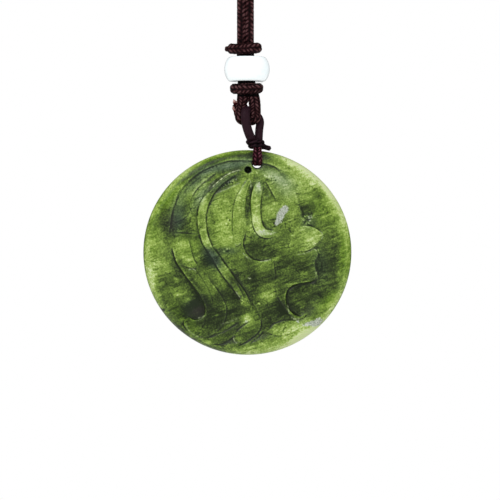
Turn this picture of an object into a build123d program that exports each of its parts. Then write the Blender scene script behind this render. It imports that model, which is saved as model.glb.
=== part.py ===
from build123d import *
import math
import os

# A carved jade disc on a braided cord necklace with one bead, hanging in the XZ plane, its face towards -Y.
# The origin is where the neck loop hangs: the inner side of its cord, at the top of the loop.

# Jade disc
disc_diameter = 50.0
disc_thickness = 6.0
disc_edge_radius = 2.4
ground_depth = 1.0
string_hole_inset = 3.48
string_hole_angle = 6.0
blind_hole_diameter = 1.65
blind_hole_inset = 5.15
blind_hole_angle = 0.2
blind_hole_depth = 2.2

# Braided necklace cord, doubled from the upper knot to the link below the lower knot
cord_diameter = 2.1
cord_gap = 0.02
neck_knot_drop = 262.0
neck_straight = 22.0

# Knots round the doubled cord, and the bead between them; a shift is how far right of the cord a piece lies
upper_knot_width = 8.6
upper_knot_depth = 5.6
upper_knot_height = 2.7
upper_knot_shift = -0.5
lower_knot_width = 8.1
lower_knot_depth = 5.6
lower_knot_height = 3.1
lower_knot_drop = 9.7
lower_knot_shift = 0.22
knot_rounding_share = 0.46
knot_clearance = 0.06
bead_diameter = 11.0
bead_end_diameter = 8.8
bead_height = 5.9
bead_play = 0.78
bead_edge_radius = 0.5
bead_drop = 4.79
bead_shift = 0.38
cut_end_diameter = 1.5

# Smooth cord of the pendant's own loop, its flattened strand through the stone and its whipping
loop_cord_diameter = 2.0
loop_top_drop = 14.9
link_depth = 2.35
strand_width = 2.3
strand_thickness = 1.2
strand_clearance = 0.06
string_hole_play = 0.3
strand_rise = 0.3
strand_end_gap = 0.2
wrap_seat = 0.02
wrap_turn_height = 1.04
wrap_rounding_share = 0.35
tail_diameter = 1.0
string_hole_x = 2.8
string_hole_drop = 27.9

# The whipping's turns, from the rim up: their place across, width and depth
wrap_turns = [
    {"x": 2.68, "width": 3.8, "depth": 5.6},
    {"x": 2.32, "width": 3.9, "depth": 4.6},
]

# Values worked out from those above
disc_radius = disc_diameter / 2
half_thickness = disc_thickness / 2
cord_radius = cord_diameter / 2
strand_x = cord_radius + cord_gap / 2
string_hole_diameter = strand_width + string_hole_play
bead_bore_diameter = 2 * (strand_x + cord_radius) + bead_play
knot_z = -neck_knot_drop
hole_reach = disc_radius - string_hole_inset
hole_turn = math.radians(string_hole_angle)
hole_z = knot_z - string_hole_drop
disc_x = string_hole_x - hole_reach * math.sin(hole_turn)
disc_z = hole_z - hole_reach * math.cos(hole_turn)
rim_top_z = disc_z + math.sqrt(disc_radius**2 - (string_hole_x - disc_x) ** 2)
wrap_bottom_z = disc_z + disc_radius + wrap_seat
wrap_top_z = wrap_bottom_z + len(wrap_turns) * wrap_turn_height
link_drop = loop_top_drop + link_depth

# Routes chosen by hand from the photograph. The neck loop's side goes from above the upper knot to the top.
neck_side = [(13.0, -203.0), (30.0, -161.0), (46.0, -115.0), (56.0, -67.0), (52.5, -24.0), (25.0, cord_radius)]

# The doubled cord below the upper knot, each leg down to its own corner of the link, with heights from that knot
left_leg_route = [
    (-strand_x, 0.0, 0.0),
    (-strand_x, 0.0, -2.0),
    (-0.76, 0.0, -10.4),
    (-1.72, 0.0, -12.8),
    (-1.72, 0.0, -link_drop),
]
right_leg_route = [
    (strand_x, 0.0, 0.0),
    (strand_x, 0.0, -2.0),
    (1.33, 0.0, -8.8),
    (2.88, 0.0, -12.8),
    (2.88, 0.0, -link_drop),
]

# The pendant's loop: up in front of the left leg, back between the legs and down behind the right one.
loop_route = [
    (1.84, 0.6, -23.2),
    (-0.34, -2.3, -19.2),
    (0.05, -2.25, -loop_top_drop),
    (1.12, 2.3, -loop_top_drop),
    (4.0, 2.1, -16.7),
    (3.68, 1.2, -19.9),
    (3.52, -0.4, -23.2),
]

# The trimmed end of the necklace cord, left of and behind the left leg
cut_end_route = [(-2.35, 1.5, -11.7), (-2.9, 1.5, -13.2), (-3.05, 1.4, -15.3)]

# The whipping's tail, which lies on the rim
tail_route = [(4.12, -0.9, -23.76), (5.0, -1.05, -24.08), (6.15, -1.15, -24.25)]

# Outline of the sunk ground, across and up, as shares of the disc's radius
ground_outline = [
    (-0.745, 0.20), (-0.705, 0.48), (-0.48, 0.765), (-0.12, 0.885), (0.18, 0.865), (0.40, 0.73),
    (0.51, 0.48), (0.56, 0.31), (0.74, 0.235), (0.80, 0.04), (0.77, -0.20), (0.79, -0.40),
    (0.62, -0.60), (0.45, -0.66), (0.18, -0.82), (-0.08, -0.915), (-0.36, -0.88), (-0.57, -0.79),
    (-0.64, -0.62), (-0.73, -0.40), (-0.755, -0.10),
]

# Horse's head and neck, facing right: the raised plate that the locks lie on
head_outline = [
    (0.13, 0.77), (0.33, 0.70), (0.45, 0.58), (0.52, 0.42), (0.54, 0.29), (0.63, 0.235),
    (0.735, 0.155), (0.665, 0.06), (0.685, -0.05), (0.65, -0.13), (0.685, -0.22), (0.63, -0.285),
    (0.48, -0.312), (0.395, -0.37), (0.375, -0.48), (0.42, -0.60), (0.32, -0.66), (0.15, -0.72),
    (-0.02, -0.62), (-0.15, -0.35), (-0.33, -0.02), (-0.39, 0.25), (-0.36, 0.46), (-0.20, 0.64),
]
head_height = 0.55
muzzle_outline = [
    (0.44, 0.05), (0.47, 0.15), (0.53, 0.215), (0.63, 0.205), (0.70, 0.155), (0.65, 0.06),
    (0.58, 0.01), (0.50, 0.005),
]
muzzle_height = 0.8

# Each lock: its spine, its half widths at the start, the middle and the end, all as shares of the disc's
# radius, and its height as a share of the ground's depth.
locks = [
    {"name": "crest", "widths": (0.02, 0.065, 0.05), "height": 0.60,
     "spine": [(0.0, 0.83), (-0.26, 0.80), (-0.49, 0.67), (-0.64, 0.45), (-0.69, 0.24)]},
    {"name": "second lock", "widths": (0.015, 0.05, 0.045), "height": 0.72,
     "spine": [(-0.05, 0.795), (-0.30, 0.70), (-0.47, 0.53), (-0.535, 0.32), (-0.52, 0.13)]},
    {"name": "main lock", "widths": (0.015, 0.045, 0.03), "height": 0.92,
     "spine": [(-0.04, 0.77), (-0.25, 0.68), (-0.41, 0.49), (-0.44, 0.32), (-0.40, 0.10), (-0.27, -0.13),
               (-0.09, -0.36), (-0.02, -0.51)]},
    {"name": "inner lock", "widths": (0.015, 0.045, 0.02), "height": 0.78,
     "spine": [(0.05, 0.72), (-0.05, 0.56), (-0.085, 0.36), (-0.08, 0.16), (-0.055, 0.04)]},
    {"name": "fore lock", "widths": (0.02, 0.055, 0.025), "height": 0.90,
     "spine": [(0.105, 0.72), (0.085, 0.56), (0.075, 0.40), (0.10, 0.27), (0.18, 0.18), (0.28, 0.19)]},
    {"name": "ear", "widths": (0.01, 0.05, 0.04), "height": 0.80,
     "spine": [(0.17, 0.66), (0.205, 0.54), (0.225, 0.42), (0.22, 0.30)]},
    {"name": "cheek line", "widths": (0.01, 0.022, 0.012), "height": 0.82,
     "spine": [(-0.03, 0.18), (-0.055, 0.07), (0.0, -0.045), (0.10, -0.095), (0.22, -0.075)]},
    {"name": "outer lock", "widths": (0.02, 0.075, 0.03), "height": 0.80,
     "spine": [(-0.70, 0.21), (-0.64, 0.03), (-0.55, -0.18), (-0.42, -0.40), (-0.36, -0.58),
               (-0.42, -0.73), (-0.53, -0.755)]},
    {"name": "middle lock", "widths": (0.015, 0.055, 0.025), "height": 0.70,
     "spine": [(-0.50, 0.12), (-0.46, -0.07), (-0.35, -0.24), (-0.23, -0.42), (-0.20, -0.60),
               (-0.26, -0.74), (-0.40, -0.83)]},
    {"name": "lower lock", "widths": (0.01, 0.055, 0.012), "height": 0.66,
     "spine": [(0.12, -0.70), (0.03, -0.80), (-0.11, -0.88)]},
    {"name": "leaf", "widths": (0.01, 0.055, 0.012), "height": 0.95,
     "spine": [(0.20, -0.79), (0.34, -0.73), (0.52, -0.71)]},
]
outline_stations = 6

os.makedirs("parts", exist_ok=True)


def from_knot(points):
    """Route points with heights from the upper knot, as points of the whole necklace."""
    return [(x, y, knot_z + z) for x, y, z in points]


def rounded_path(name, points):
    """Straight runs joined by tangent arcs, each as large as its two runs allow."""
    corners = [Vector(*point) for point in points]
    run_share = 0.45
    radii = []
    for before, corner, after in zip(corners, corners[1:], corners[2:]):
        turn = (corner - before).get_angle(after - corner)
        shorter = min((corner - before).length, (after - corner).length)
        radii.append(run_share * shorter / math.tan(math.radians(turn) / 2))
    path = FilletPolyline(*corners, radius=radii)
    print(name, "radii", [round(radius, 1) for radius in radii], "length", round(path.length, 1))
    return path


def round_tube(path, diameter):
    section = Plane(path @ 0, z_dir=path % 0) * Circle(diameter / 2)
    tube = sweep(section, path=path)
    share = tube.volume / (math.pi * diameter**2 / 4 * path.length)
    print("tube volume against section times length", round(share, 4))
    return tube


def strand_tube(path, width, thickness):
    """The flattened strand, whose width lies across the disc's face."""
    section = Plane(path @ 0, x_dir=(1, 0, 0), z_dir=path % 0) * SlotOverall(width, thickness)
    return sweep(section, path=path)


def on_disc(shares):
    return [(x * disc_radius, z * disc_radius) for x, z in shares]


def outline_face(shares):
    return make_face(Spline(*on_disc(shares), periodic=True))


def lock_half_width(share, widths):
    start, middle, end = widths
    at_start = start * (2 * share - 1) * (share - 1)
    at_end = end * share * (2 * share - 1)
    return disc_radius * (at_start + 4 * middle * share * (1 - share) + at_end)


def lock_face(lock):
    spine = Spline(*on_disc(lock["spine"]))
    left = []
    right = []
    for station in range(1, outline_stations):
        share = station / outline_stations
        along = spine % share
        side = Vector(-along.Y, along.X) * lock_half_width(share, lock["widths"])
        left.append(spine @ share + side)
        right.append(spine @ share - side)
    outer = Spline(spine @ 0, *left, spine @ 1)
    inner = Spline(spine @ 1, *reversed(right), spine @ 0)
    return make_face([outer, inner])


def raised(face, height):
    """A form of the relief, from the sunk ground towards the viewer; height is a share of the ground's depth."""
    floor = half_thickness - ground_depth
    return Pos(0, 0, floor) * extrude(face, amount=height * ground_depth)


def hole_centre(inset, angle):
    reach = disc_radius - inset
    turn = math.radians(angle)
    return reach * math.sin(turn), reach * math.cos(turn)


def jade_disc():
    blank = extrude(Circle(disc_radius), amount=half_thickness, both=True)
    blank = fillet(blank.edges().filter_by(GeomType.CIRCLE), disc_edge_radius)
    ground = extrude(outline_face(ground_outline), amount=ground_depth)
    disc = blank - Pos(0, 0, half_thickness - ground_depth) * ground
    disc += raised(outline_face(head_outline), head_height)
    disc += raised(outline_face(muzzle_outline), muzzle_height)
    for lock in locks:
        disc += raised(lock_face(lock), lock["height"])
    string_hole = Cylinder(string_hole_diameter / 2, 2 * disc_thickness)
    disc -= Pos(*hole_centre(string_hole_inset, string_hole_angle)) * string_hole
    blind_hole = Cylinder(blind_hole_diameter / 2, 2 * blind_hole_depth)
    blind_x, blind_y = hole_centre(blind_hole_inset, blind_hole_angle)
    disc -= Pos(blind_x, blind_y, half_thickness) * blind_hole
    facing = Plane(origin=(disc_x, 0, disc_z), x_dir=(1, 0, 0), z_dir=(0, -1, 0))
    return facing * disc


def neck_path():
    """The whole loop round the neck, from the upper knot's middle, round the top and back to it."""
    right = [(strand_x, knot_z), (strand_x, knot_z + neck_straight)] + neck_side
    left = [(-x, z) for x, z in reversed(right)]
    return rounded_path("neck loop", [(x, 0, z) for x, z in right + left])


def strand_path():
    """Through the hole, up both faces of the disc and over its rounded rim, to meet inside the whipping."""
    reach = disc_edge_radius + strand_clearance + strand_thickness / 2
    half_corner = math.radians(22.5)
    half_side = reach * math.tan(half_corner)
    edge_y = half_thickness - disc_edge_radius
    edge_z = rim_top_z - disc_edge_radius
    front = [
        (string_hole_x, -strand_end_gap / 2, edge_z + reach),
        (string_hole_x, -edge_y - half_side, edge_z + reach),
        (string_hole_x, -edge_y - reach, edge_z + half_side),
        (string_hole_x, -edge_y - reach, hole_z + strand_rise),
    ]
    back = [(x, -y, z) for x, y, z in reversed(front)]
    return rounded_path("strand", front + back)


def rounded_roll(outline, height, rounding_share):
    """A turn of cord as a lying roll; rounding_share is its edges' radius as a share of its height."""
    roll = extrude(outline, amount=height / 2, both=True)
    rims = roll.edges().group_by(Axis.Z)
    return fillet(rims[0] + rims[-1], rounding_share * height)


def knot(width, depth, height, centre_x, centre_z, cords):
    """One turn of cord round the doubled cord: a rounded roll, with room for the strands through it."""
    roll = Pos(centre_x, 0, centre_z) * rounded_roll(SlotOverall(width, depth), height, knot_rounding_share)
    for cord in cords:
        roll -= cord
    return roll


def white_bead(centre_x, centre_z):
    with BuildPart() as bead:
        with BuildSketch(Plane.XZ):
            with BuildLine():
                top = Polyline(
                    (bead_bore_diameter / 2, bead_height / 2),
                    (bead_end_diameter / 2, bead_height / 2),
                )
                ThreePointArc(top @ 1, (bead_diameter / 2, 0), (bead_end_diameter / 2, -bead_height / 2))
                Polyline(
                    (bead_end_diameter / 2, -bead_height / 2),
                    (bead_bore_diameter / 2, -bead_height / 2),
                    (bead_bore_diameter / 2, bead_height / 2),
                )
            make_face()
        revolve(axis=Axis.Z)
        fillet(bead.edges().filter_by(GeomType.CIRCLE), bead_edge_radius)
    return Pos(centre_x, 0, centre_z) * bead.part


def loop_wrap(strand):
    """The thin cord's turns over the loop's feet, seated on the rim, and its trimmed tail."""
    tail = rounded_path("tail", from_knot(tail_route))
    wrap = round_tube(tail, tail_diameter)
    for index, turn in enumerate(wrap_turns):
        outline = SlotOverall(turn["depth"], turn["width"], rotation=90)
        roll = rounded_roll(outline, wrap_turn_height, wrap_rounding_share)
        wrap += Pos(turn["x"], 0, wrap_bottom_z + (index + 0.5) * wrap_turn_height) * roll
    return wrap - strand


def pendant_loop():
    """Its feet are trimmed level where they meet the whipping."""
    tube = round_tube(rounded_path("pendant loop", from_knot(loop_route)), loop_cord_diameter)
    below = 4 * loop_cord_diameter
    return tube - Pos(string_hole_x, 0, wrap_top_z - below / 2) * Box(below, below, below)


pieces = {}
pieces["jade_disc"] = jade_disc()
pieces["neck_loop"] = round_tube(neck_path(), cord_diameter)
link = from_knot(left_leg_route + right_leg_route[::-1])
pieces["doubled_cord"] = round_tube(rounded_path("doubled cord", link), cord_diameter)

channel_diameter = cord_diameter + 2 * knot_clearance
legs = []
for route in (left_leg_route, right_leg_route):
    above = (route[0][0], 0.0, upper_knot_height)
    legs.append(round_tube(rounded_path("leg channel", from_knot([above] + route[1:])), channel_diameter))
pieces["upper_knot"] = knot(
    upper_knot_width, upper_knot_depth, upper_knot_height, upper_knot_shift, knot_z, legs
)
lower_knot_z = knot_z - lower_knot_drop
pieces["lower_knot"] = knot(
    lower_knot_width, lower_knot_depth, lower_knot_height, lower_knot_shift, lower_knot_z, legs
)
pieces["white_bead"] = white_bead(bead_shift, knot_z - bead_drop)
pieces["cut_end"] = round_tube(rounded_path("cut end", from_knot(cut_end_route)), cut_end_diameter)

pieces["pendant_loop"] = pendant_loop()
strand = strand_path()
pieces["disc_strand"] = strand_tube(strand, strand_width, strand_thickness)
grown = strand_tube(strand, strand_width + 2 * knot_clearance, strand_thickness + 2 * knot_clearance)
pieces["loop_wrap"] = loop_wrap(grown)

for name, piece in pieces.items():
    export_step(piece, f"parts/{name}.step")
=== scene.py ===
import math
import bmesh
import bpy
import numpy as np
from mathutils import Matrix, Vector


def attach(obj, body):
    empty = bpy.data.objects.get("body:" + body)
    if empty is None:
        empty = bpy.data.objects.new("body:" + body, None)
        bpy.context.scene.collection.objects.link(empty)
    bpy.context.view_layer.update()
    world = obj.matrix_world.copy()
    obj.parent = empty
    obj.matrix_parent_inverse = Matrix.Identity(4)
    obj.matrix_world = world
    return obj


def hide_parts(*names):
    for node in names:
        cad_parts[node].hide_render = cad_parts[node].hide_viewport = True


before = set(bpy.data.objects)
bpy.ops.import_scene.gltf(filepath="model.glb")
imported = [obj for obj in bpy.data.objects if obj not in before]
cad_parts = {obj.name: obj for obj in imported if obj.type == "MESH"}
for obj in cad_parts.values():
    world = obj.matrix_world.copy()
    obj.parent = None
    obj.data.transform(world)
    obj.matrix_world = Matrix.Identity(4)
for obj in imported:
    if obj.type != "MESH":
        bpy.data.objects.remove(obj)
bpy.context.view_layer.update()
print("frame loaded")

# Sizes are in millimetres until a mesh is made, and only bump distances and subsurface scales are in metres.
# Heights of the pieces below the neck loop count from the upper knot's middle, knotZ.
mm = 0.001
knotZ = -262.0


def srgb(red, green, blue):
    # a colour as read on screen, 0 to 255, as the linear one that shaders take
    channels = []
    for value in (red / 255, green / 255, blue / 255):
        channels.append(value / 12.92 if value <= 0.04045 else ((value + 0.055) / 1.055) ** 2.4)
    return (*channels, 1.0)


def fromKnot(points):
    return [(x, y, knotZ + z) for x, y, z in points]


# Camera and studio

photoView = {
    "lens": 200.0,
    "sensor": 36.0,
    "widthSeen": 121.05,  # across the disc's plane
    "aimX": 1.107,
    "aimZ": -310.8,
}

studio = {
    "floorZ": -500.0,
    "floorWidth": 1800.0,
    "floorFront": -1200.0,
    "floorBack": 800.0,
    "floorColor": srgb(236, 236, 234),
    "floorRoughness": 0.9,
    "ambient": 0.72,
    "gleam": 0.12,  # brightness of the surroundings that polished pieces mirror
    "lights": {  # place, width and power of each unseen soft box
        "keyLight": ((-450.0, -750.0, 300.0), 800.0, 3.6),
        "fillLight": ((800.0, -700.0, -100.0), 1000.0, 1.4),
    },
    "lightsAim": (0, 0, -300.0),
}


def makeCamera():
    data = bpy.data.cameras.new("photoCamera")
    data.lens = photoView["lens"]
    data.sensor_width = photoView["sensor"]
    data.clip_start = 0.01
    data.clip_end = 20
    camera = bpy.data.objects.new("photoCamera", data)
    reach = photoView["widthSeen"] * photoView["lens"] / photoView["sensor"]
    camera.location = (photoView["aimX"] * mm, -reach * mm, photoView["aimZ"] * mm)
    camera.rotation_euler = (math.radians(90), 0, 0)
    bpy.context.scene.collection.objects.link(camera)
    bpy.context.scene.camera = camera


def makeLights():
    for name, (spot, width, power) in studio["lights"].items():
        data = bpy.data.lights.new(name, "AREA")
        data.shape = "DISK"
        data.size = width * mm
        data.energy = power
        light = bpy.data.objects.new(name, data)
        light.location = Vector(spot) * mm
        away = Vector(spot) - Vector(studio["lightsAim"])
        light.rotation_euler = away.to_track_quat("Z", "Y").to_euler()
        light.visible_camera = False
        bpy.context.scene.collection.objects.link(light)


def makeWorld():
    # the camera sees white, mirrored rays see a dark studio, and the rest is lit softly from all round
    bpy.context.scene.view_settings.view_transform = "Standard"
    world = bpy.data.worlds.new("paleStudio")
    bpy.context.scene.world = world
    world.use_nodes = True
    nodes, links = world.node_tree.nodes, world.node_tree.links
    nodes.clear()
    out = nodes.new("ShaderNodeOutputWorld")
    path = nodes.new("ShaderNodeLightPath")
    seen, lit, gleam = (nodes.new("ShaderNodeBackground") for _ in range(3))
    for background, strength in ((seen, 1.0), (lit, studio["ambient"]), (gleam, studio["gleam"])):
        background.inputs["Color"].default_value = (1, 1, 1, 1)
        background.inputs["Strength"].default_value = strength
    around, whole = nodes.new("ShaderNodeMixShader"), nodes.new("ShaderNodeMixShader")
    picks = ((around, "Is Glossy Ray", lit, gleam), (whole, "Is Camera Ray", around, seen))
    for mix, kind, others, chosen in picks:
        links.new(path.outputs[kind], mix.inputs[0])
        links.new(others.outputs[0], mix.inputs[1])
        links.new(chosen.outputs[0], mix.inputs[2])
    links.new(whole.outputs[0], out.inputs["Surface"])


def makeFloor():
    side, front, back = (studio[name] * mm for name in ("floorWidth", "floorFront", "floorBack"))
    side, height = side / 2, studio["floorZ"] * mm
    corners = [(-side, front, height), (side, front, height), (side, back, height), (-side, back, height)]
    mesh = bpy.data.meshes.new("paleFloor")
    mesh.from_pydata(corners, [], [(0, 1, 2, 3)])
    floor = bpy.data.objects.new("paleFloor", mesh)
    bpy.context.scene.collection.objects.link(floor)
    material = bpy.data.materials.new("palePaper")
    material.use_nodes = True
    shader = material.node_tree.nodes["Principled BSDF"]
    shader.inputs["Base Color"].default_value = studio["floorColor"]
    shader.inputs["Roughness"].default_value = studio["floorRoughness"]
    mesh.materials.append(material)


makeCamera()
makeWorld()
makeLights()
makeFloor()
print("camera and studio made")


# Shared shader groups

stoneGrain = {
    "cloud": {"Detail": 4.0, "Roughness": 0.6, "Distortion": 0.4},
    "fibre": {"Detail": 3.0, "Roughness": 0.6, "Distortion": 0.3},
    "speck": {"Detail": 2.0, "Roughness": 0.6},
    "vein": {"Detail": 2.0, "Roughness": 0.55, "Distortion": 0.8},
    "fibreStretch": 0.14,
    "veinStretch": 0.4,
    "speckScale": 7.5,  # speckScale and veinScale are against the clouds' own scale
    "veinScale": 1.7,
    "veinThinness": 26.0,
    "veinsInCloud": 5.0,  # veins show where the clouds are light
    "veinsFrom": -2.2,
}
cordGrain = {
    "wander": {"Scale": 2500.0, "Detail": 2.0, "Roughness": 0.5},
    "mottle": {"Scale": 900.0, "Detail": 3.0, "Roughness": 0.6},
}


def plug(tree, socket, value):
    # a number or colour is set on the socket itself, and another node's output is linked to it
    if isinstance(value, (int, float, tuple)):
        socket.default_value = value
    else:
        tree.links.new(value, socket)


def mathNode(tree, operation, *values):
    node = tree.nodes.new("ShaderNodeMath")
    node.operation = operation
    for socket, value in zip(node.inputs, values):
        plug(tree, socket, value)
    return node.outputs[0]


def limited(tree, value):
    # kept between 0 and 1
    return mathNode(tree, "MAXIMUM", mathNode(tree, "MINIMUM", value, 1.0), 0.0)


def addShares(tree, total, *terms):
    # the total with each value added, times its share
    for value, share in terms:
        total = mathNode(tree, "MULTIPLY_ADD", value, share, total)
    return total


def noiseNode(tree, vector, settings):
    node = tree.nodes.new("ShaderNodeTexNoise")
    tree.links.new(vector, node.inputs["Vector"])
    for name, value in settings.items():
        plug(tree, node.inputs[name], value)
    return node.outputs["Fac"]


def stretched(tree, vector, share):
    # drawn out along the first axis
    node = tree.nodes.new("ShaderNodeVectorMath")
    node.operation = "MULTIPLY"
    node.inputs[1].default_value = (share, 1.0, 1.0)
    tree.links.new(vector, node.inputs[0])
    return node.outputs[0]


def newGroup(name, inputs, outputs):
    group = bpy.data.node_groups.new(name, "ShaderNodeTree")
    for key, default in inputs.items():
        socket = group.interface.new_socket(name=key, in_out="INPUT", socket_type="NodeSocketFloat")
        socket.default_value = default
    for key in outputs:
        group.interface.new_socket(name=key, in_out="OUTPUT", socket_type="NodeSocketFloat")
    return group, group.nodes.new("NodeGroupInput").outputs, group.nodes.new("NodeGroupOutput").inputs


def stoneCloudGroup():
    # clouds, slanting fibres and fine specks of a polished stone, each about 0, and thin veins, from 0 to 1
    settings = {"Cloud Scale": 300.0, "Fibre Scale": 900.0, "Fibre Turn": 0.3}
    group, take, give = newGroup("stoneCloud", settings, ("Cloud", "Fibre", "Speck", "Vein"))
    place = group.nodes.new("ShaderNodeTexCoord").outputs["Object"]
    cloud = noiseNode(group, place, dict(stoneGrain["cloud"], Scale=take["Cloud Scale"]))
    turn = group.nodes.new("ShaderNodeVectorRotate")
    turn.rotation_type = "Y_AXIS"
    group.links.new(place, turn.inputs["Vector"])
    group.links.new(take["Fibre Turn"], turn.inputs["Angle"])
    long = stretched(group, turn.outputs[0], stoneGrain["fibreStretch"])
    fibre = noiseNode(group, long, dict(stoneGrain["fibre"], Scale=take["Fibre Scale"]))
    speckScale = mathNode(group, "MULTIPLY", take["Cloud Scale"], stoneGrain["speckScale"])
    speck = noiseNode(group, place, dict(stoneGrain["speck"], Scale=speckScale))
    veinScale = mathNode(group, "MULTIPLY", take["Cloud Scale"], stoneGrain["veinScale"])
    drawn = stretched(group, turn.outputs[0], stoneGrain["veinStretch"])
    vein = noiseNode(group, drawn, dict(stoneGrain["vein"], Scale=veinScale))
    ridge = mathNode(group, "SUBTRACT", vein, 0.5)
    ridge = mathNode(group, "MULTIPLY", mathNode(group, "ABSOLUTE", ridge), stoneGrain["veinThinness"])
    ridge = mathNode(group, "SUBTRACT", 1.0, mathNode(group, "MINIMUM", ridge, 1.0))
    present = mathNode(group, "MULTIPLY_ADD", cloud, stoneGrain["veinsInCloud"], stoneGrain["veinsFrom"])
    group.links.new(mathNode(group, "MULTIPLY", ridge, limited(group, present)), give["Vein"])
    for name, value in (("Cloud", cloud), ("Fibre", fibre), ("Speck", speck)):
        group.links.new(mathNode(group, "MULTIPLY_ADD", value, 2.0, -1.0), give[name])
    return group


def cordFibreGroup():
    # fine filaments that lean with each grain of a braided or wound cord, and a soft mottle about zero
    group, take, give = newGroup("cordFibre", {"Filaments": 9.0, "Lean": 1.0}, ("Filament", "Mottle"))
    place = group.nodes.new("ShaderNodeTexCoord").outputs["Object"]
    phase = mathNode(group, "MULTIPLY", readAttribute(group, "lay"), take["Filaments"])
    phase = addShares(group, phase, (noiseNode(group, place, cordGrain["wander"]), take["Lean"]))
    wave = mathNode(group, "SINE", mathNode(group, "MULTIPLY", phase, 2 * math.pi))
    group.links.new(mathNode(group, "MULTIPLY_ADD", wave, 0.5, 0.5), give["Filament"])
    mottle = noiseNode(group, place, cordGrain["mottle"])
    group.links.new(mathNode(group, "MULTIPLY_ADD", mottle, 2.0, -1.0), give["Mottle"])
    return group


def readAttribute(tree, name):
    node = tree.nodes.new("ShaderNodeAttribute")
    node.attribute_name = name
    return node.outputs["Fac"]


stoneCloud = stoneCloudGroup()
cordFibre = cordFibreGroup()


def newMaterial(name, settings):
    # settings are the shader's own constants by the names of its sockets
    material = bpy.data.materials.new(name)
    material.use_nodes = True
    shader = material.node_tree.nodes["Principled BSDF"]
    for key, value in settings.items():
        shader.inputs[key].default_value = value
    return material, material.node_tree, shader


def useGroup(tree, group, values):
    node = tree.nodes.new("ShaderNodeGroup")
    node.node_tree = group
    for name, value in values.items():
        node.inputs[name].default_value = value
    return node.outputs


def colorRamp(tree, factor, stops):
    node = tree.nodes.new("ShaderNodeValToRGB")
    ramp = node.color_ramp
    while len(ramp.elements) < len(stops):
        ramp.elements.new(0.5)
    for element, (place, color) in zip(ramp.elements, stops):
        element.position = place
        element.color = color
    tree.links.new(factor, node.inputs["Fac"])
    return node.outputs["Color"]


def mixColors(tree, factor, first, second):
    node = tree.nodes.new("ShaderNodeMix")
    node.data_type = "RGBA"
    for index, value in ((0, factor), (6, first), (7, second)):
        plug(tree, node.inputs[index], value)
    return node.outputs[2]


def addBump(tree, shader, height, strength, distance):
    node = tree.nodes.new("ShaderNodeBump")
    node.inputs["Strength"].default_value = strength
    node.inputs["Distance"].default_value = distance
    tree.links.new(height, node.inputs["Height"])
    tree.links.new(node.outputs[0], shader.inputs["Normal"])


# Mesh helpers

def smoothStep(values):
    values = np.clip(values, 0, 1)
    return values * values * (3 - 2 * values)


def addValues(mesh, values):
    # named numbers on the points, which the materials read
    for key, numbers in values.items():
        layer = mesh.attributes.new(key, "FLOAT", "POINT")
        layer.data.foreach_set("value", np.asarray(numbers, dtype=np.float32))


def makeObject(name, points, faces):
    mesh = bpy.data.meshes.new(name)
    mesh.from_pydata((np.asarray(points) * mm).tolist(), [], faces)
    shell = bmesh.new()
    shell.from_mesh(mesh)
    bmesh.ops.recalc_face_normals(shell, faces=shell.faces)
    shell.to_mesh(mesh)
    shell.free()
    mesh.polygons.foreach_set("use_smooth", [True] * len(mesh.polygons))
    made = bpy.data.objects.new(name, mesh)
    bpy.context.scene.collection.objects.link(made)
    return made


def place(piece, body, slot, replaced=()):
    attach(piece, body)
    if replaced:
        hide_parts(*replaced)


def routeLine(points, step):
    # the smooth line of a route, as evenly spaced points read from its NURBS spline
    data = bpy.data.curves.new("route", "CURVE")
    data.dimensions = "3D"
    data.resolution_u = 32
    spline = data.splines.new("NURBS")
    spline.points.add(len(points) - 1)
    for point, spot in zip(spline.points, points):
        point.co = (spot[0] * mm, spot[1] * mm, spot[2] * mm, 1)
    spline.order_u = 3
    spline.use_endpoint_u = True
    holder = bpy.data.objects.new("route", data)
    bpy.context.scene.collection.objects.link(holder)
    bpy.context.view_layer.update()
    mesh = bpy.data.meshes.new_from_object(holder)
    line = np.array([vertex.co[:] for vertex in mesh.vertices]) / mm
    bpy.data.objects.remove(holder)
    bpy.data.curves.remove(data)
    bpy.data.meshes.remove(mesh)
    return evenLine(line, step)


def lineLengths(line):
    return np.concatenate([[0.0], np.cumsum(np.linalg.norm(np.diff(line, axis=0), axis=1))])


def evenLine(line, step):
    # step is a length, or a function that gives the next step at a station of the whole length
    lengths = lineLengths(line)
    if callable(step):
        stations = [0.0]
        while stations[-1] < lengths[-1]:
            stations.append(stations[-1] + step(stations[-1], lengths[-1]))
        stations = np.array(stations) * lengths[-1] / stations[-1]
    else:
        stations = np.linspace(0, lengths[-1], max(2, round(lengths[-1] / step) + 1))
    return np.stack([np.interp(stations, lengths, line[:, axis]) for axis in range(3)], axis=1)


def lineFrames(line, up):
    # along, up and side at each point, carried on without twist
    along = np.gradient(line, axis=0)
    along /= np.linalg.norm(along, axis=1)[:, None]
    ups = np.zeros_like(line)
    current = np.array(up, dtype=float)
    for index, direction in enumerate(along):
        current = current - direction * (current @ direction)
        current /= np.linalg.norm(current)
        ups[index] = current
    return along, ups, np.cross(along, ups)


def slowWaves(station, order, waves):
    # keeps neighbours from being quite alike: each wave's size, its rate along a line and its shift by order
    return sum(size * np.sin(rate * station + shift * order) for size, rate, shift in waves)


braidWaves = [(0.13, 0.83, 2.1), (0.09, 2.17, 4.3)]


def braidSurface(across, along, look):
    # how high a round cord's braid stands, 0 to 1, in columns of grains that lean to both sides by turns
    columns = look["columns"]
    column = np.floor(across * columns)
    part = across * columns - column
    lean = np.where(column % 2 == 0, 1.0, -1.0)
    phase = along / look["pitch"] + lean * look["slant"] * (part - 0.5) + 0.5 * (column % 2)
    phase = phase + slowWaves(along, column, braidWaves)
    grain = phase - np.floor(phase)
    bulge = np.sqrt(np.clip(1 - (2 * grain - 1) ** 2, 0, 1))
    side = np.sqrt(np.clip(1 - 0.8 * (2 * part - 1) ** 2, 0, 1))
    lay = part + lean * look["slant"] * grain
    return bulge * side, lay


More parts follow.
